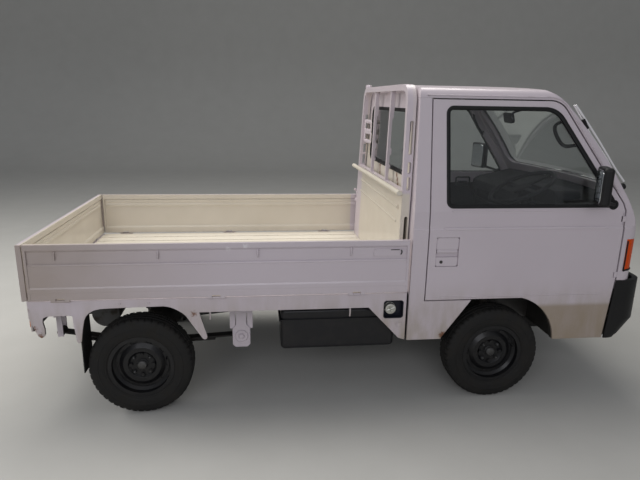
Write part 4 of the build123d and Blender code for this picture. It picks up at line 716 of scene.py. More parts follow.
# Half a tyre's section. Columns: distance from the middle, radius, how deep its cuts are
tyre_half = (
    (0.0000, 0.2580, 0.0),
    (0.0035, 0.2580, 0.0),
    (0.0045, 0.2648, 0.0),
    (0.0140, 0.2650, 0.003),
    (0.0240, 0.2648, 0.0),
    (0.0252, 0.2575, 0.0),
    (0.0312, 0.2575, 0.0),
    (0.0325, 0.2646, 0.003),
    (0.0500, 0.2636, 0.006),
    (0.0575, 0.2600, 0.006),
    (0.0630, 0.2530, 0.003),
    (0.0672, 0.2430, 0.0),
    (0.0705, 0.2300, 0.0),
    (0.0722, 0.2170, 0.0),
    (0.0738, 0.2150, 0.0),
    (0.0738, 0.2120, 0.0),
    (0.0724, 0.2100, 0.0),
    (0.0716, 0.1950, 0.0),
    (0.0690, 0.1830, 0.0),
    (0.0668, 0.1790, 0.0),
    (0.0668, 0.1755, 0.0),
    (0.0640, 0.1725, 0.0),
    (0.0612, 0.1690, 0.0),
    (0.0560, 0.1640, 0.0),
)
tyre_section = [(-across, radius, cut) for across, radius, cut in reversed(tyre_half[1:])]
tyre_section += tyre_half


def tyre_ring(mesh, x, y, step):
    """One turn of the tyre's section about the axle."""
    angle = 2 * math.pi * step / tyre_steps
    cut_here = step % steps_a_block == 0
    ring = []
    for across, radius, cut in tyre_section:
        reach = radius - cut if cut_here else radius
        spot = (x + reach * math.cos(angle), y + across, axle_z + reach * math.sin(angle))
        ring.append(mesh.verts.new(spot))
    return ring


for end, x in wheel_x.items():
    for word, side in sides:
        mesh = bmesh.new()
        rings = [tyre_ring(mesh, x, side * wheel_y, step) for step in range(tyre_steps)]
        for here, there in zip(rings, rings[1:] + rings[:1]):
            join_rows(mesh, here, there)
        name = f"treaded_tyre_{end}_{word}"
        tyre = hand_over(name, mesh, tyre_rubber, f"{end}_{word}_wheel", 28)
        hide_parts(f"tyre_{end}_{word}")
print("tyres: 4 with", tyre_steps // steps_a_block, "blocks round each shoulder")

# %% [markdown]
# Turned shapes and rays. Nuts, caps and bolts are round, so each is a short profile turned
# about an axis. To seat them, a ray is shot at the frame's own surface, which says where the
# metal is and which way it faces. Typing the place by hand would leave gaps.

# %% Turned shapes and rays
def turned(mesh, profile, centre, axis, steps=40):
    """Adds a shape made by turning (along, out) points round an axis."""
    way = Vector(axis).normalized()
    side_way = way.orthogonal().normalized()
    other_way = way.cross(side_way)
    rings = []
    for step in range(steps):
        angle = 2 * math.pi * step / steps
        out = side_way * math.cos(angle) + other_way * math.sin(angle)
        rings.append([mesh.verts.new(Vector(centre) + way * a + out * r) for a, r in profile])
    for here, there in zip(rings, rings[1:] + rings[:1]):
        join_rows(mesh, here, there, closed=False)
    mesh.faces.new([ring[0] for ring in rings])
    mesh.faces.new([ring[-1] for ring in rings])


def on_skin(nodes, start, way, reach=9.0):
    """Where a ray first meets the named CAD nodes, and which way the surface faces there."""
    found = []
    for node in nodes.split():
        hit, point, facing, _ = truck_nodes[node].ray_cast(Vector(start), Vector(way))
        distance = (point - Vector(start)).length
        if hit and distance < reach:
            found.append((distance, point, facing))
    if not found:
        return None, None
    _, point, facing = min(found, key=lambda one: one[0])
    return point, facing


print("turning and rays ready")

# %% [markdown]
# Strips and bars. Rubber seals, mouldings, rods and pipes are all strips: a small section
# carried along a path, turned so that it always stands on the panel below it. A curve object
# with a bevel could do the same for round rods, but it can't lean on a curved panel.

# %% Strips and bars
def strip(mesh, path, ups, section, closed=False):
    """Adds an (across, up) section carried along a path. Ups is one way, or one for each point."""
    if isinstance(ups, Vector):
        ups = [ups] * len(path)
    rings = []
    last = len(path) - 1
    for step, spot in enumerate(path):
        before = path[step - 1] if closed or step else spot
        after = path[(step + 1) % len(path)] if closed or step < last else spot
        up = ups[step].normalized()
        across = (after - before).cross(up).normalized()
        rings.append([mesh.verts.new(spot + across * a + up * u) for a, u in section])
    for here, there in zip(rings, rings[1:] + rings[:1] if closed else rings[1:]):
        join_rows(mesh, here, there)
    if not closed:
        mesh.faces.new(rings[0])
        mesh.faces.new(rings[-1])


def round_section(radius, flat=1.0, corners=10):
    """A round or flattened section for a strip."""
    turns = [2 * math.pi * step / corners for step in range(corners)]
    return [(radius * math.cos(turn), flat * radius * math.sin(turn)) for turn in turns]


def smooth_path(points, parts=6):
    """A smooth line through points."""
    points = [Vector(point) for point in points]
    ends = [2 * points[0] - points[1]] + points + [2 * points[-1] - points[-2]]
    path = []
    for a, b, c, d in zip(ends, ends[1:], ends[2:], ends[3:]):
        for part in range(parts):
            t = part / parts
            bend = (2 * a - 5 * b + 4 * c - d) * t**2
            path.append(0.5 * (2 * b + (c - a) * t + bend + (3 * b - a - 3 * c + d) * t**3))
    path.append(points[-1])
    return path


def bar(mesh, points, radius, up=(0, 0, 1), flat=1.0, parts=6):
    """Adds a round bar along a smooth line."""
    strip(mesh, smooth_path(points, parts), Vector(up), round_section(radius, flat))


print("strips and bars ready")

# %% [markdown]
# Wheel fittings. Four domed nuts hold each wheel on its studs round a pressed dust cap, and a
# rubber valve stands in the rim. The nuts are turned in six steps, which gives their flats,
# with a chamfered top; their place is found by looking for the wheel's own face.

# %% Nuts, dust caps and valves
stud_radius = 0.057
outside_y = 0.9
valve_out = 0.122
hub_look_x = 0.033
nut_section = ((-0.004, 0.0105), (0.009, 0.0105), (0.012, 0.0088), (0.017, 0.0052), (0.019, 0.0015))
cap_section = (
    (-0.004, 0.0290),
    (0.004, 0.0290),
    (0.007, 0.0265),
    (0.016, 0.0250),
    (0.021, 0.0210),
    (0.024, 0.0120),
    (0.025, 0.0020),
)
for end, x in wheel_x.items():
    for word, side in sides:
        rim = f"rim_{end}_{word}"
        wheel = f"{end}_{word}_wheel"
        inwards = (0, -side, 0)
        outwards = (0, side, 0)
        mesh = bmesh.new()
        for angle in (math.radians(45 + 90 * stud) for stud in range(4)):
            stud_x = x + stud_radius * math.cos(angle)
            stud_z = axle_z + stud_radius * math.sin(angle)
            seat, _ = on_skin(rim, (stud_x, side * outside_y, stud_z), inwards)
            turned(mesh, nut_section, seat, outwards, steps=6)
        hub, _ = on_skin(rim, (x + hub_look_x, side * outside_y, axle_z), inwards)
        turned(mesh, cap_section, (x, hub.y, axle_z), outwards, steps=36)
        hand_over(f"wheel_nuts_{end}_{word}", mesh, nut_steel, wheel, 25)
        mesh = bmesh.new()
        foot, _ = on_skin(rim, (x + valve_out, side * outside_y, axle_z + 0.03), inwards)
        bend = foot + Vector((0.004, side * 0.012, 0))
        tip = foot + Vector((0.003, side * 0.030, 0))
        bar(mesh, [foot, bend, tip], 0.004, up=(1, 0, 0))
        hand_over(f"valve_{end}_{word}", mesh, trim_black, wheel)
print("wheel fittings done, nuts on a circle of", 2 * stud_radius, "m")

# %% [markdown]
# Rounded outlines. Windows, flaps and plates all have rounded corners. An outline is worked
# out from its sharp corners and one radius for each, so a corner can be changed without
# touching the others. On long straight stretches points are added, so that a strip can follow
# a curved panel.

# %% Rounded outlines
def rounded_outline(corners, radii, grow=0.0, parts=7):
    """A closed outline with rounded corners, as flat (u, v) points in order."""
    points = []
    for step, radius in enumerate(radii):
        corner = Vector(corners[step])
        back = (Vector(corners[step - 1]) - corner).normalized()
        ahead = (Vector(corners[(step + 1) % len(corners)]) - corner).normalized()
        half = math.acos(max(-1, min(1, back.dot(ahead)))) / 2
        centre = corner + (back + ahead).normalized() * (radius / math.sin(half))
        first = corner + back * (radius / math.tan(half)) - centre
        sweep = (math.pi - 2 * half) * (-1 if back.cross(ahead) > 0 else 1)
        for part in range(parts + 1):
            turn = sweep * part / parts
            arm_u = first.x * math.cos(turn) - first.y * math.sin(turn)
            arm_v = first.x * math.sin(turn) + first.y * math.cos(turn)
            points.append(centre + Vector((arm_u, arm_v)))
    middle = sum(points, Vector((0, 0))) / len(points)
    grown = []
    for before, here, after in zip(points[-1:] + points[:-1], points, points[1:] + points[:1]):
        along = (after - before).normalized()
        out = Vector((along.y, -along.x))
        if out.dot(here - middle) < 0:
            out.negate()
        grown.append(here + out * grow)
    return grown


def rounded_box(low, high, radii, **settings):
    """The outline of a rectangle. Radii is one number, or one for each corner from low upwards."""
    if isinstance(radii, float):
        radii = [radii] * 4
    corners = [low, (low[0], high[1]), high, (high[0], low[1])]
    return rounded_outline(corners, radii, **settings)


def spread(points, gap, closed=True):
    """Adds points on long straight stretches of an outline."""
    path = []
    for here, there in zip(points, points[1:] + points[:1] if closed else points[1:]):
        parts = max(1, math.ceil((there - here).length / gap))
        path += [here.lerp(there, part / parts) for part in range(parts)]
    return path if closed else path + [points[-1]]


print("outlines ready")

# %% [markdown]
# Window seals. Black rubber runs round every pane: it laps a few millimetres over the panel
# and dips to the glass inside. Each seal follows the window's outline, and each point of it
# is dropped on the panel along a ray, so it fits the curved pillars and the leaning screen. A
# flat frame would sink into them.

# %% Window seals
seal_section = (
    (0.008, -0.001),
    (0.0075, 0.0025),
    (0.002, 0.0042),
    (-0.006, 0.0036),
    (-0.012, 0.0010),
    (-0.0125, -0.0090),
)
seal_gap = 0.05
outward_step = 0.003
outward_tries = 9


def window_seal(name, outline, to_start, way, nodes, body, reach):
    """A rubber seal along an outline of flat points, dropped on the panels along a ray."""
    way = Vector(way)
    path = []
    ups = []
    centre = sum(outline, Vector((0, 0))) / len(outline)
    for point in spread(outline, seal_gap):
        out = (point - centre).normalized() * outward_step
        for tries in range(outward_tries):
            spot, facing = on_skin(nodes, to_start(point + out * tries), way, reach)
            if spot is not None:
                path.append(spot)
                ups.append(facing if facing.dot(way) < 0 else -facing)
                break
    middle = sum(path, Vector()) / len(path)
    across = (path[1] - path[-1]).cross(ups[0])
    sign = 1 if across.dot(path[0] - middle) > 0 else -1
    mesh = bmesh.new()
    strip(mesh, path, ups, [(sign * a, u) for a, u in seal_section], closed=True)
    hand_over(name, mesh, seal_rubber, body, 50)
    print(name, len(path), "points")


door_window = rounded_outline(
    [(0.452, 1.108), (0.438, 1.592), (1.010, 1.592), (1.340, 1.140), (1.356, 1.108)],
    [0.026, 0.026, 0.118, 0.012, 0.012],
    grow=0.004,
)
for word, side in sides:
    window_seal(
        f"door_window_seal_{word}",
        door_window,
        lambda point: (point.x, side, point.y),
        (0, -side, 0),
        f"door_panel_{word}",
        f"{word}_door",
        0.5,
    )
screen = rounded_outline(
    [(-0.606, 1.196), (-0.540, 1.606), (0.540, 1.606), (0.606, 1.196)], [0.060] * 4, grow=0.004
)
window_seal(
    "windscreen_seal",
    screen,
    lambda point: (2.0, point.x, point.y),
    (-1, 0, 0),
    "cab_front cab_roof",
    "chassis",
    1.2,
)
back_window = rounded_box((-0.470, 1.240), (0.470, 1.572), 0.045, grow=0.004)
window_seal(
    "rear_window_seal",
    back_window,
    lambda point: (0.245, point.x, point.y),
    (1, 0, 0),
    "cab_back",
    "chassis",
    0.3,
)

# %% [markdown]
# Rain gutters. A folded lip runs over each door and down the screen pillar, and leads the
# rain away. It is the same painted sheet as the roof, so it carries the body paint. Its line
# is laid flat, as seen from the side, and then dropped on the cab.

# %% Rain gutters
gutter_section = ((0.005, -0.001), (0.0045, 0.004), (0.001, 0.006), (-0.003, 0.005), (-0.005, -0.001))
gutter_foot_z = 1.16
loose_end = 8
gutter_line = rounded_outline(
    [(0.330, 1.400), (0.330, 1.652), (1.040, 1.652), (1.420, 1.120), (1.0, 1.2)],
    [0.001, 0.001, 0.118, 0.001, 0.001],
)
gutter_line = [point for point in gutter_line if point.y > 1.60 or point.x > 1.05]
# The outline's last points turn back under the window, so they are left off
gutter_line = spread(gutter_line, 0.04, closed=False)[:-loose_end]
gutter_line = [point for point in gutter_line if point.y >= gutter_foot_z]
for word, side in sides:
    path = []
    ups = []
    for point in gutter_line:
        start = (point.x, side, point.y)
        spot, facing = on_skin("cab_front cab_roof cab_back", start, (0, -side, 0))
        path.append(spot)
        ups.append(facing if facing.y * side > 0 else -facing)
    mesh = bmesh.new()
    strip(mesh, path, ups, gutter_section)
    hand_over(f"gutter_{word}", mesh, body_paint, "chassis")
print("gutters:", len(gutter_line), "points each")

# %% [markdown]
# Lines of the door. Low ribs are pressed along the door: one just under the glass and two
# further down. They catch the light as thin bright lines. A bump would do that too, but it
# would be lost in the exported mesh, so each rib is a flat strip on the door's skin.

# %% Door lines
glass_line = ((0.470, 1.084), (0.60, 1.083), (0.80, 1.083), (1.0, 1.084), (1.20, 1.085), (1.30, 1.086))
door_rear_x = 0.345
door_front_x = 1.425
rib_parts = 12
# Ribs: height above the ground, half width
door_ribs = ((0.9905, 0.0080), (0.620, 0.0045))
for word, side in sides:
    panel = f"door_panel_{word}"
    lean = Vector((0, side, 0.1))
    mesh = bmesh.new()
    line = [on_skin(panel, (x, side, z), (0, -side, 0))[0] for x, z in glass_line]
    strip(mesh, smooth_path(line, 4), lean, round_section(0.005, 0.5))
    for z, reach in door_ribs:
        line = []
        for part in range(rib_parts + 1):
            x = door_rear_x + (door_front_x - door_rear_x) * part / rib_parts
            spot, _ = on_skin(panel, (x, side, z), (0, -side, 0), 0.6)
            if spot is not None:
                line.append(spot)
        strip(mesh, line, lean, round_section(reach, 0.45))
    hand_over(f"door_line_{word}", mesh, body_paint, f"{word}_door", 60)
print("door lines:", 1 + len(door_ribs), "a door")

# %% [markdown]
# Plates. Flaps, covers and mirrors are thin plates with rounded corners and a softened front
# edge. A cube with a bevel modifier comes close, but its corners can't each have their own
# radius, so a plate is its outline, given a thickness.

# %% Plates
upwards = (0, 0, 1)


def plate(mesh, outline, thickness, corner, u_way, v_way, edge):
    """Adds a plate: flat (u, v) points given a thickness towards u x v, with softened edges."""
    u_way = Vector(u_way)
    v_way = Vector(v_way)
    out = u_way.cross(v_way).normalized()
    flat = [Vector(corner) + u_way * point[0] + v_way * point[1] for point in outline]
    middle = sum(flat, Vector()) / len(flat)
    rows = []
    for lift, shrink in ((0, 0), (thickness - edge, 0), (thickness, edge)):
        rows.append([mesh.verts.new(p + out * lift + (middle - p).normalized() * shrink) for p in flat])
    for low, high in zip(rows, rows[1:]):
        join_rows(mesh, low, high)
    mesh.faces.new(rows[0])
    mesh.faces.new(rows[-1])


def side_plate(mesh, side, low, high, radii, face_y, thickness, edge):
    """A rounded plate on one side of the truck, from (x, z) low to high, standing outwards."""
    outline = rounded_box((0, low[1]), (high[0] - low[0], high[1]), radii)
    start_x = high[0] if side > 0 else low[0]
    plate(mesh, outline, thickness, (start_x, side * face_y, 0), (-side, 0, 0), upwards, edge)


print("plates ready")

# %% [markdown]
# Door handles. A flap hinged at its top lifts over a finger scoop, and the lock sits in a
# small plate under it. The flap, the lip and the lock plate are separate pieces of metal on
# the real door, so they are separate plates here, set flush in the door's recess.

# %% Door handles
handle_face_y = 0.6825
handle_rear_x = 0.3985
handle_front_x = 0.5185
handle_depth = 0.0115
lip_z = 0.872
key_z = 0.816
key_section = ((-0.002, 0.0085), (0.002, 0.0085), (0.0032, 0.0070), (0.0026, 0.0050))
for word, side in sides:
    body = f"{word}_door"
    mesh = bmesh.new()
    for low_z, high_z, radii in (
        (0.882, 0.9465, [0.004, 0.012, 0.012, 0.004]),
        (0.7915, 0.842, [0.012, 0.004, 0.004, 0.012]),
    ):
        low = (handle_rear_x, low_z)
        high = (handle_front_x, high_z)
        side_plate(mesh, side, low, high, radii, handle_face_y, handle_depth, edge=0.003)
    start_x = handle_front_x if side > 0 else handle_rear_x
    lip_y = side * (handle_face_y + 0.006)
    lip = [(start_x - side * along, lip_y, lip_z) for along in (0.004, 0.03, 0.059, 0.088, 0.114)]
    bar(mesh, lip, 0.009, up=(0, side, 0), flat=0.8)
    hand_over(f"door_handle_{word}", mesh, body_paint, body, 40)
    mesh = bmesh.new()
    key_x = 0.4305 if side > 0 else 0.4285
    lock_y = side * (handle_face_y + handle_depth)
    turned(mesh, key_section, (key_x, lock_y, key_z), (0, side, 0), 24)
    hand_over(f"door_lock_{word}", mesh, nut_steel, body, 30)
print("handles:", len(sides))

# %% [markdown]
# Mirror glass. Each mirror's housing is moulded black plastic with a pane of silvered glass
# on the face that looks back. The pane is a plate of its own, a little inside the housing's
# rim, because glass and plastic can't share a finish.

# %% Mirror panes
mirror_turn = math.radians(20)
housing_depth = 0.0235
pane = rounded_box((-0.058, -0.083), (0.058, 0.083), 0.020)
for word, side in sides:
    out_way = Vector((-math.sin(mirror_turn), side * math.cos(mirror_turn), 0))
    back_way = Vector((-math.cos(mirror_turn), -side * math.sin(mirror_turn), 0))
    centre = Vector((1.215, side * 0.778, 1.225)) + back_way * housing_depth
    mesh = bmesh.new()
    plate(mesh, pane, 0.003, centre, -side * out_way, upwards, edge=0.002)
    hand_over(f"mirror_pane_{word}", mesh, mirror_silver, f"{word}_door", 30)
print("mirror panes:", len(sides))

# %% [markdown]
# Wiper details. The arms and the blade are bright metal with black knuckles: a cap over each
# spindle and a black joint where the blade hangs on its arm. The blade leans on the screen, so
# its line is a curve through points on the glass, not a straight rod.

# %% Wiper blade and knuckles
blade_y = -0.585
blade_line = ((1.124, 1.617), (1.182, 1.551), (1.275, 1.442), (1.335, 1.368), (1.396, 1.292), (1.460, 1.220))
mesh = bmesh.new()
bar(mesh, [(x, blade_y, z) for x, z in blade_line], 0.0055, up=(0, 1, 0), flat=0.8)
hand_over("wiper_blade", mesh, wiper_silver, "chassis", 40)

screen_facing = (0.86, 0, 0.51)
knuckle_section = ((-0.012, 0.9), (-0.004, 1.0), (0.008, 1.0), (0.014, 0.7), (0.016, 0.1))
mesh = bmesh.new()
for centre, reach in (((1.458, -0.580, 1.192), 0.019), ((1.487, 0.330, 1.168), 0.017)):
    turned(mesh, [(a, share * reach) for a, share in knuckle_section], centre, screen_facing, 28)
bar(mesh, [(1.206, -0.583, 1.498), (1.190, -0.584, 1.522), (1.176, -0.583, 1.545)], 0.010, up=(0, 1, 0))
bar(mesh, [(1.464, 0.02, 1.201), (1.464, -0.10, 1.201), (1.462, -0.20, 1.201)], 0.008)
hand_over("wiper_knuckles", mesh, trim_black, "chassis", 40)
print("wiper details done")

# %% [markdown]
# Rope hooks. Bent rod hooks stand in the sunk band along the top of every gate, for the rope
# that holds a load down. One hook profile serves all three gates. The tail gate also has a
# draw latch at each end, bent from thicker rod round a bolt.

# %% Rope hooks
hook_x = (-1.478, -0.998, -0.516, -0.045)
tail_hook_y = (-0.48, -0.16, 0.16, 0.48)
# A hook from its top to its tip: distance out from the truck's middle line, height
hook_profile = ((0.6860, 0.900), (0.6955, 0.897), (0.6985, 0.884), (0.6980, 0.868), (0.6925, 0.860))
tail_further = 0.950
hook_radius = 0.0042
washer_y = 0.6885
washer_section = ((-0.002, 0.010), (0.001, 0.010), (0.002, 0.008))
for word, side in sides:
    mesh = bmesh.new()
    for x in hook_x:
        bar(mesh, [(x, side * y, z) for y, z in hook_profile], hook_radius, up=(1, 0, 0), parts=5)
        turned(mesh, washer_section, (x, side * washer_y, 0.890), (0, side, 0), 20)
    hand_over(f"rope_hooks_{word}", mesh, body_paint, f"{word}_gate", 40)

mesh = bmesh.new()
for y in tail_hook_y:
    hook = [(-out - tail_further, y, z) for out, z in hook_profile]
    bar(mesh, hook, hook_radius, up=(0, 1, 0), parts=5)
latch_y = 0.655
latch_bolt = ((-0.004, 0.013), (0.004, 0.013), (0.006, 0.010))
for y in (-latch_y, latch_y):
    latch = [(-1.640, y, 0.905), (-1.651, y, 0.895), (-1.652, y, 0.860), (-1.641, y, 0.845)]
    bar(mesh, latch, 0.006, up=(0, 1, 0))
    turned(mesh, latch_bolt, (-1.641, y, 0.905), (-1, 0, 0), 24)
hand_over("tail_gate_hooks", mesh, body_paint, "rear_gate", 40)
print("hooks:", len(hook_x) * 2 + len(tail_hook_y))

# %% [markdown]
# Folds and pulls of the gates. Each side gate is one pressed sheet: a rib runs along its
# outside, and the band that is sunk into the outside stands out on the inside. The pull at
# its front end is a shallow plate with a bent lever in it. All of them are strips and plates
# on the gate's own faces, since they swing with it.

# %% Gate folds and pulls
gate_rear_x = -1.585
gate_run = 1.830
fold_parts = 14
fold_z = 0.831
lever = ((0.214, 0.694, 0.886), (0.217, 0.697, 0.874), (0.213, 0.694, 0.862))
lever_rod = ((0.160, 0.6935, 0.886), (0.180, 0.6945, 0.8865), (0.205, 0.6935, 0.886))
for word, side in sides:
    body = f"{word}_gate"
    mesh = bmesh.new()
    fold = []
    for part in range(fold_parts + 1):
        x = gate_rear_x + gate_run * part / fold_parts
        fold.append(on_skin(f"gate_{word}", (x, side, fold_z), (0, -side, 0))[0])
    strip(mesh, fold, Vector((0, side, 0)), round_section(0.0065, 0.5))
    hand_over(f"gate_fold_{word}", mesh, body_paint, body, 60)
    mesh = bmesh.new()
    side_plate(mesh, side, (0.071, 0.852), (0.240, 0.890), 0.012, 0.6885, 0.0042, 0.0015)
    hand_over(f"gate_pull_{word}", mesh, body_paint, body, 30)
    mesh = bmesh.new()
    bar(mesh, [(x, side * y, z) for x, y, z in lever], 0.0035, up=(1, 0, 0))
    bar(mesh, [(x, side * y, z) for x, y, z in lever_rod], 0.0022)
    hand_over(f"gate_pull_lever_{word}", mesh, nut_steel, body, 40)

inner_fold_section = (
    (-0.026, -0.001),
    (-0.022, 0.0062),
    (-0.008, 0.0062),
    (-0.004, 0.0040),
    (0.004, 0.0040),
    (0.008, 0.0062),
    (0.022, 0.0062),
    (0.026, -0.001),
)
inner_fold_z = 0.876
inner_face_y = 0.6815
inner_face_x = -1.6315
inner_parts = 6
# Runs: where a fold starts, and how long it is
side_run = (-1.598, 1.836)
tail_run = (-0.650, 1.300)


def even_steps(first, length):
    """Places at even distances along a run."""
    return [first + length * part / inner_parts for part in range(inner_parts + 1)]


for word, side in sides:
    mesh = bmesh.new()
    run = [Vector((x, side * inner_face_y, inner_fold_z)) for x in even_steps(*side_run)]
    strip(mesh, run, Vector((0, -side, 0)), inner_fold_section)
    hand_over(f"gate_inner_fold_{word}", mesh, body_paint, f"{word}_gate", 20)
mesh = bmesh.new()
run = [Vector((inner_face_x, y, inner_fold_z)) for y in even_steps(*tail_run)]
strip(mesh, run, Vector((1, 0, 0)), inner_fold_section)
hand_over("tail_gate_inner_fold", mesh, body_paint, "rear_gate", 20)
print("gate folds: 5")

# %% [markdown]
# Guard frame fittings. A pressed plate with two square windows is welded across the far upper
# corner, and a block sits on the hoop above it. Each window is a flat ring swept round a
# rounded square, which leaves it open as on the real plate.

# %% Guard plate
plate_foot = Vector((0.250, 0.562, 0))
plate_way = Vector((0.018, -0.162, 0)).normalized()
plate_facing = Vector((-1, -0.11, 0))
window_tall = 0.062
window_ring = rounded_box((0.012, 0), (0.150, window_tall), 0.012, parts=4)
block_section = ((-0.012, 0.020), (0.0, 0.022), (0.014, 0.020), (0.017, 0.012))
mesh = bmesh.new()
for low_z in (1.345, 1.418):
    path = [plate_foot + plate_way * u + Vector((0, 0, low_z + v)) for u, v in window_ring]
    strip(mesh, path, plate_facing, round_section(0.013, 0.3, 8), closed=True)
turned(mesh, block_section, (0.262, 0.520, 1.708), upwards, 6)
hand_over("guard_plate", mesh, body_paint, "chassis", 40)
print("guard plate windows:", window_tall, "m tall")

# %% [markdown]
# Guard rail and latch bracket. A round rail stiffens the sheet that stops the load, with two
# pressed ribs under it, and a bent bracket at the far post holds the side gate's latch. The
# ribs are dropped on the sheet along rays, as the seals are.

# %% Guard rail and latch bracket
mesh = bmesh.new()
bar(mesh, [(0.206, -0.630, 1.166), (0.204, 0.0, 1.162), (0.200, 0.655, 1.156)], 0.015, flat=0.9)
behind_guard_x = 0.10
rib_from_y = -0.53
rib_length = 1.0
rib_steps = 11
for z in (1.075, 1.000):
    line = []
    for part in range(rib_steps + 1):
        y = rib_from_y + rib_length * part / rib_steps
        line.append(on_skin("guard_frame", (behind_guard_x, y, z), (1, 0, 0))[0])
    strip(mesh, line, Vector((-1, 0, 0)), round_section(0.008, 0.5))
# The rail and ribs take the cream of painted warm light
hand_over("guard_rail", mesh, guard_lit_cream, "chassis", 60)

mesh = bmesh.new()
bracket = [(0.203, 0.628, 0.985), (0.228, 0.630, 0.968), (0.250, 0.632, 0.945), (0.255, 0.632, 0.880)]
bar(mesh, bracket, 0.008, up=(0, 1, 0))
bracket_bolt = ((-0.002, 0.017), (0.010, 0.017), (0.014, 0.011))
for x, z in ((0.232, 0.962), (0.224, 0.905), (0.236, 0.872)):
    turned(mesh, bracket_bolt, (x, 0.618, z), (0, -1, 0), 20)
hand_over("gate_latch_bracket", mesh, body_paint, "chassis", 40)
print("guard fittings done")

# %% [markdown]
# Bosses and fuel cap. The spring's front bolt runs through a round boss on each hanger, and
# the fuel cap has a cross grip. Both are turned from a profile with a step in it, which gives
# the ring of shadow that a plain disc wouldn't have.

# %% Bosses and fuel cap
boss_section = (
    (-0.002, 0.035),
    (0.004, 0.035),
    (0.0065, 0.032),
    (0.0045, 0.024),
    (0.0045, 0.016),
    (0.009, 0.015),
    (0.014, 0.013),
    (0.016, 0.006),
)
mesh = bmesh.new()
for side in (-1, 1):
    turned(mesh, boss_section, (-0.611, side * 0.506, 0.352), (0, side, 0), 32)
hand_over("spring_bosses", mesh, hanger_paint, "chassis", 30)

cap_y = -0.6700
grip_half = 0.022
grip_turn = 0.35
grip_section = (
    (-0.010, 0.0295),
    (0.0, 0.0295),
    (0.003, 0.0275),
    (0.0035, 0.018),
    (0.0015, 0.016),
    (0.0015, 0.003),
)
mesh = bmesh.new()
turned(mesh, grip_section, (cap_x, cap_y, cap_z), (0, -1, 0), 40)
for turn in (grip_turn, grip_turn + math.pi / 2):
    arm = Vector((math.cos(turn), 0, math.sin(turn))) * grip_half
    middle = Vector((cap_x, cap_y - 0.004, cap_z))
    bar(mesh, [middle - arm, middle, middle + arm], 0.0045, up=(0, -1, 0), flat=0.9)
hand_over("fuel_cap_grip", mesh, cap_steel, "chassis", 35)
print("bosses and cap done")

# %% [markdown]
# Skirt details. There are a round plug below the fuel cap, a few bolt heads, and two short
# pins that hang from the skirt's lower edge. They are small, but they are what tells pressed steel
# from a plain board.

# %% Skirt plugs and pins
plug_section = ((-0.001, 0.0185), (0.0022, 0.0180), (0.0032, 0.0150), (0.0016, 0.0120))
bolt_section = ((-0.001, 0.007), (0.003, 0.007), (0.0045, 0.004))
mesh = bmesh.new()
plug, _ = on_skin("bed_skirts cab_back cab_floor", (0.227, -1, 0.470), (0, 1, 0))
turned(mesh, plug_section, plug, (0, -1, 0), 32)
for x, z in ((-1.585, 0.480), (-1.060, 0.625), (-1.200, 0.625)):
    spot, _ = on_skin("bed_skirts", (x, -1, z), (0, 1, 0), 0.5)
    if spot is not None:
        turned(mesh, bolt_section, spot, (0, -1, 0), 6)
for x, foot in ((-0.039, 0.522), (-0.761, 0.526)):
    pin = [(x, -0.675, 0.578), (x + 0.001, -0.6755, 0.550), (x, -0.675, foot)]
    bar(mesh, pin, 0.0045, up=(1, 0, 0))
hand_over("skirt_plugs", mesh, body_paint, "chassis", 30)
print("skirt details done")

# %% [markdown]
# Inside the cab. Through the glass show the rear-view mirror on its stalk, two sun visors and
# a grab handle on each pillar. They are dark moulded plastic, made from the same plates and
# bars as the outside, since only their outline is seen.

# %% Cab mirror, visors and grab handles
mirror_face = rounded_box((-0.105, -0.030), (0.105, 0.030), 0.022)
mirror_spot = Vector((1.030, -0.02, 1.530))
mirror_u = Vector((0.22, 0.975, 0)).normalized()
mirror_v = Vector((-0.20, 0.05, 0.98)).normalized()
visor = rounded_box((-0.20, -0.07), (0.20, 0.07), 0.025)
visor_lean = Vector((0.93, 0, -0.37)).normalized()
mesh = bmesh.new()
plate(mesh, mirror_face, 0.020, mirror_spot, mirror_u, mirror_v, edge=0.006)
stalk = [mirror_spot + Vector(step) for step in ((0.01, 0, 0), (0.04, 0, 0.035), (0.085, 0, 0.050))]
bar(mesh, stalk, 0.007, up=(0, 1, 0))
for side in (-1, 1):
    plate(mesh, visor, 0.014, (0.985, side * 0.30, 1.640), (0, 1, 0), visor_lean, edge=0.006)
hand_over("cab_mirror_and_visors", mesh, cabin_grey, "chassis", 45)

# A grab handle: x, distance from the middle line, z
grab = (
    (1.062, 0.585, 1.535),
    (1.050, 0.540, 1.505),
    (1.075, 0.530, 1.450),
    (1.115, 0.540, 1.405),
    (1.150, 0.592, 1.412),
)
mesh = bmesh.new()
for side in (-1, 1):
    bar(mesh, [(x, side * y, z) for x, y, z in grab], 0.010, up=(0, 1, 0))
hand_over("grab_handles", mesh, trim_black, "chassis", 45)
print("cab fittings done")

# %% [markdown]
# Door levers. On the inside of each door are the latch's recess with its lever, and the window
# crank on its disc. The far door's show through the near glass. The recess is only its raised
# rim: the dark trim behind it does the rest.

# %% Door levers
inner_y = 0.652
recess_x = (0.990, 1.095)
recess = rounded_box((0, 0), (0.105, 0.070), 0.010, parts=4)
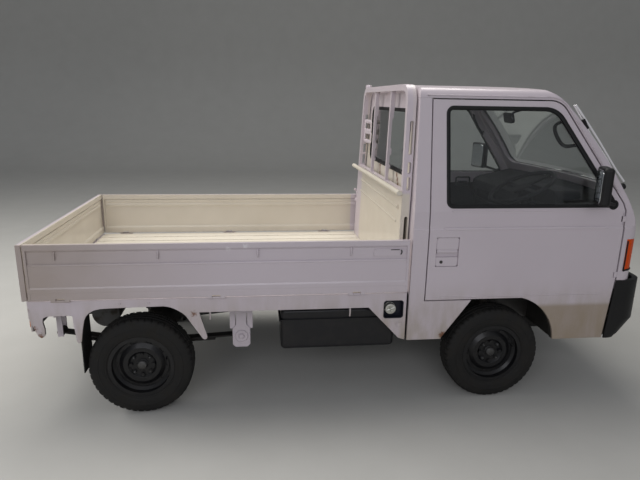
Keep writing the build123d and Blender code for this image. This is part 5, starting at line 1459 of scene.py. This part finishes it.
# Rods: x, how far they stand inwards from the trim, z
latch_rod = ((1.010, 0.006, 1.035), (1.040, 0.016, 1.036), (1.075, 0.010, 1.035))
crank_rod = ((0.830, 0.012, 0.900), (0.850, 0.022, 0.860), (0.862, 0.026, 0.820))
crank_disc = ((-0.004, 0.026), (0.006, 0.026), (0.010, 0.020))
for word, side in sides:
    inwards = Vector((0, -side, 0))
    start_x = recess_x[0] if side > 0 else recess_x[1]
    mesh = bmesh.new()
    rim = [Vector((start_x + side * u, side * (inner_y - 0.008), 1.000 + v)) for u, v in recess]
    strip(mesh, rim, inwards, round_section(0.006), closed=True)
    bar(mesh, [(x, side * (inner_y - out), z) for x, out, z in latch_rod], 0.008, up=inwards)
    turned(mesh, crank_disc, (0.830, side * (inner_y - 0.004), 0.900), inwards, 28)
    bar(mesh, [(x, side * (inner_y - out), z) for x, out, z in crank_rod], 0.007, up=inwards)
    hand_over(f"door_lever_{word}", mesh, trim_black, f"{word}_door", 45)
print("door levers:", len(sides))

# %% [markdown]
# Seat pads. Each seat of the real truck is a foam pad in a sewn vinyl cover: crowned on top,
# pulled in along its sides, with two sewn channels in its back and piping round its edge. A
# cloth simulation could puff it up, but it would blur the seams. Here the form is a rounded
# block whose points are moved by those rules, which holds the seams exactly where they belong.

# %% Pads and piping
pad_corner = 0.035
pad_cells = 22
side_pull = 0.010
# Near the top face, from this share of the height on, the sides are pulled in less
top_from = 0.9
top_pull = 0.4
channel_depth = 0.009
channel_width = 0.035
piping_radius = 0.0045
piping_inset = 0.006
piping_drop = 0.016


def pad_frame(u_way, v_way):
    """The three directions of a pad: along u, along v, and up."""
    u_way = Vector(u_way).normalized()
    v_way = Vector(v_way).normalized()
    return u_way, v_way, u_way.cross(v_way)


def pad(mesh, centre, u_way, v_way, size, crown, channels):
    """Adds a crowned, sewn pad. Channels are where the seams run, from -1 to 1 along u."""
    u_way, v_way, w_way = pad_frame(u_way, v_way)
    half = Vector(size) / 2
    block = bmesh.new()
    bmesh.ops.create_cube(block, size=2.0)
    bmesh.ops.subdivide_edges(block, edges=block.edges[:], cuts=pad_cells, use_grid_fill=True)
    placed = {}
    for vert in block.verts:
        a, b, c = vert.co
        spot = Vector((a * half.x, b * half.y, c * half.z))
        inner = [max(pad_corner - h, min(h - pad_corner, s)) for s, h in zip(spot, half)]
        core = Vector(inner)
        arm = spot - core
        if arm.length > 1e-9:
            arm = arm.normalized() * pad_corner
        spot = core + arm
        pull = side_pull * (1 - b * b) * (1 if c < top_from else top_pull)
        spot.x -= math.copysign(pull, a) * abs(a) ** 3
        if c > 0:
            lift = crown * (1 - a * a) * (1 - b * b)
            dip = sum(channel_depth * math.exp(-(((a - at) / channel_width) ** 2)) for at in channels)
            spot.z += c * (lift - dip * (1 - abs(b) ** 6))
        placed[vert] = mesh.verts.new(Vector(centre) + u_way * spot.x + v_way * spot.y + w_way * spot.z)
    for face in block.faces:
        mesh.faces.new([placed[vert] for vert in face.verts])
    block.free()


def piping(mesh, centre, u_way, v_way, size):
    """Adds the sewn piping round a pad's top edge."""
    u_way, v_way, w_way = pad_frame(u_way, v_way)
    u = size[0] / 2 - piping_inset
    v = size[1] / 2 - piping_inset
    lift = w_way * (size[2] / 2 - piping_drop)
    seam = rounded_box((-u, -v), (u, v), pad_corner)
    path = [Vector(centre) + u_way * a + v_way * b + lift for a, b in seam]
    strip(mesh, path, w_way, round_section(piping_radius, corners=8), closed=True)


print("pads ready")

# %% [markdown]
# Seats. Both seats are alike, one on each side of the middle. A cushion lies nearly level on
# the deck and a back leans on a box behind it. The backs stand for the plain seats of the
# construction model.

# %% Seats
seat_y = 0.330
cushion_size = (0.456, 0.462, 0.108)
cushion_way = (0.9985, 0, 0.055)
back_size = (0.446, 0.460, 0.090)
back_way = (-0.155, 0, 0.988)
for word, side in sides:
    y = side * seat_y
    for kind, spot, u_way, v_way, size, crown, channels in (
        ("cushion", (0.742, y, 0.6605), cushion_way, (0, 1, 0), cushion_size, 0.012, ()),
        ("back", (0.430, y, 0.935), (0, 1, 0), back_way, back_size, 0.014, (-0.45, 0.45)),
    ):
        mesh = bmesh.new()
        pad(mesh, spot, u_way, v_way, size, crown, channels)
        piping(mesh, spot, u_way, v_way, size)
        cover = hand_over(f"seat_{kind}_{word}", mesh, seat_vinyl, "chassis", 60)
        if kind == "back":
            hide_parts("seats")
print("seats: 4 padded pieces")

# %% [markdown]
# Seat bases. Behind each cushion a pressed box carries the foot of the seat back. It is a
# rounded block with a lip along its front edge, a little wider than the back that stands on
# it, and it is the same dark sheet as the floor round it.

# %% Seat bases
base_width = 0.450
base_side = rounded_box((0.395, 0.606), (0.508, 0.712), [0.006, 0.016, 0.012, 0.006])
for word, side in sides:
    y = side * seat_y
    mesh = bmesh.new()
    plate(mesh, base_side, base_width, (0, y + base_width / 2, 0), (1, 0, 0), upwards, edge=0.004)
    bar(mesh, [(0.506, y + across, 0.620) for across in (-0.215, 0.0, 0.215)], 0.006)
    hand_over(f"seat_base_{word}", mesh, cabin_grey, "chassis", 40)
print("seat bases:", len(sides))

# %% [markdown]
# Lamp bowls and frames. Behind each clear lens is a bright bowl with a round inner lens, and
# the amber corner lamps sit in black frames. The bowl is turned. The frame goes round the
# corner of the nose, so its points are found by rays from the front, and then from the side.

# %% Lamp bowls and frames
bowl_section = (
    (0.0, 0.010),
    (0.004, 0.030),
    (0.016, 0.052),
    (0.034, 0.070),
    (0.036, 0.070),
    (0.006, 0.032),
    (-0.002, 0.010),
)
frame_z = 0.752
frame_rear_x = 1.459
frame_proud = 0.001
mesh = bmesh.new()
for side in (-1, 1):
    turned(mesh, bowl_section, (1.512, side * 0.500, 0.8365), (1, 0, 0), 48)
hand_over("lamp_bowls", mesh, mirror_silver, "chassis", 50)

for word, side in sides:
    rays = [((2.0, side * y, frame_z), (-1, 0, 0)) for y in (0.612, 0.640, 0.665, 0.682)]
    rays += [((x, side * 1.2, frame_z), (0, -side, 0)) for x in (1.520, 1.495, 1.470, 1.458)]
    rays += [((frame_rear_x, side * 1.2, z), (0, -side, 0)) for z in (0.80, 0.86, 0.915)]
    line = []
    for start, way in rays:
        spot, facing = on_skin("corner_lamps", start, way)
        line.append(spot + facing * frame_proud)
    mesh = bmesh.new()
    strip(mesh, smooth_path(line, 5), Vector((0.6, side, -0.2)), round_section(0.006, 0.6))
    hand_over(f"corner_lamp_frame_{word}", mesh, trim_black, "chassis", 50)
print("lamp bowls and frames: 4")

# %% [markdown]
# Number plates. They are blank pressed sheets with a raised rim and two bolts. The sheet
# itself is in the frame already, so only the rim and the bolt heads are added, one of each
# piece for front and rear together.

# %% Plate rims and bolts
plate_rim = rounded_box((-0.162, 0.003), (0.162, 0.162), 0.010)
bolt_up = 0.140
plate_bolt = ((-0.001, 0.008), (0.004, 0.008), (0.006, 0.005))
# Plates: x of the face, which way it looks, height of its lower edge
number_plates = ((1.6475, 1, 0.500), (-1.6375, -1, 0.440))
rims = bmesh.new()
bolts = bmesh.new()
for x, out, low_z in number_plates:
    path = [Vector((x, u, low_z + v)) for u, v in plate_rim]
    strip(rims, path, Vector((out, 0, 0)), round_section(0.003, 0.6), closed=True)
    for y in (-0.105, 0.105):
        turned(bolts, plate_bolt, (x, y, low_z + bolt_up), (out, 0, 0), 6)
hand_over("plate_rims", rims, plate_yellow, "chassis", 50)
hand_over("plate_bolts", bolts, nut_steel, "chassis", 30)
print("plates:", len(number_plates))

# %% End
print("scene built")
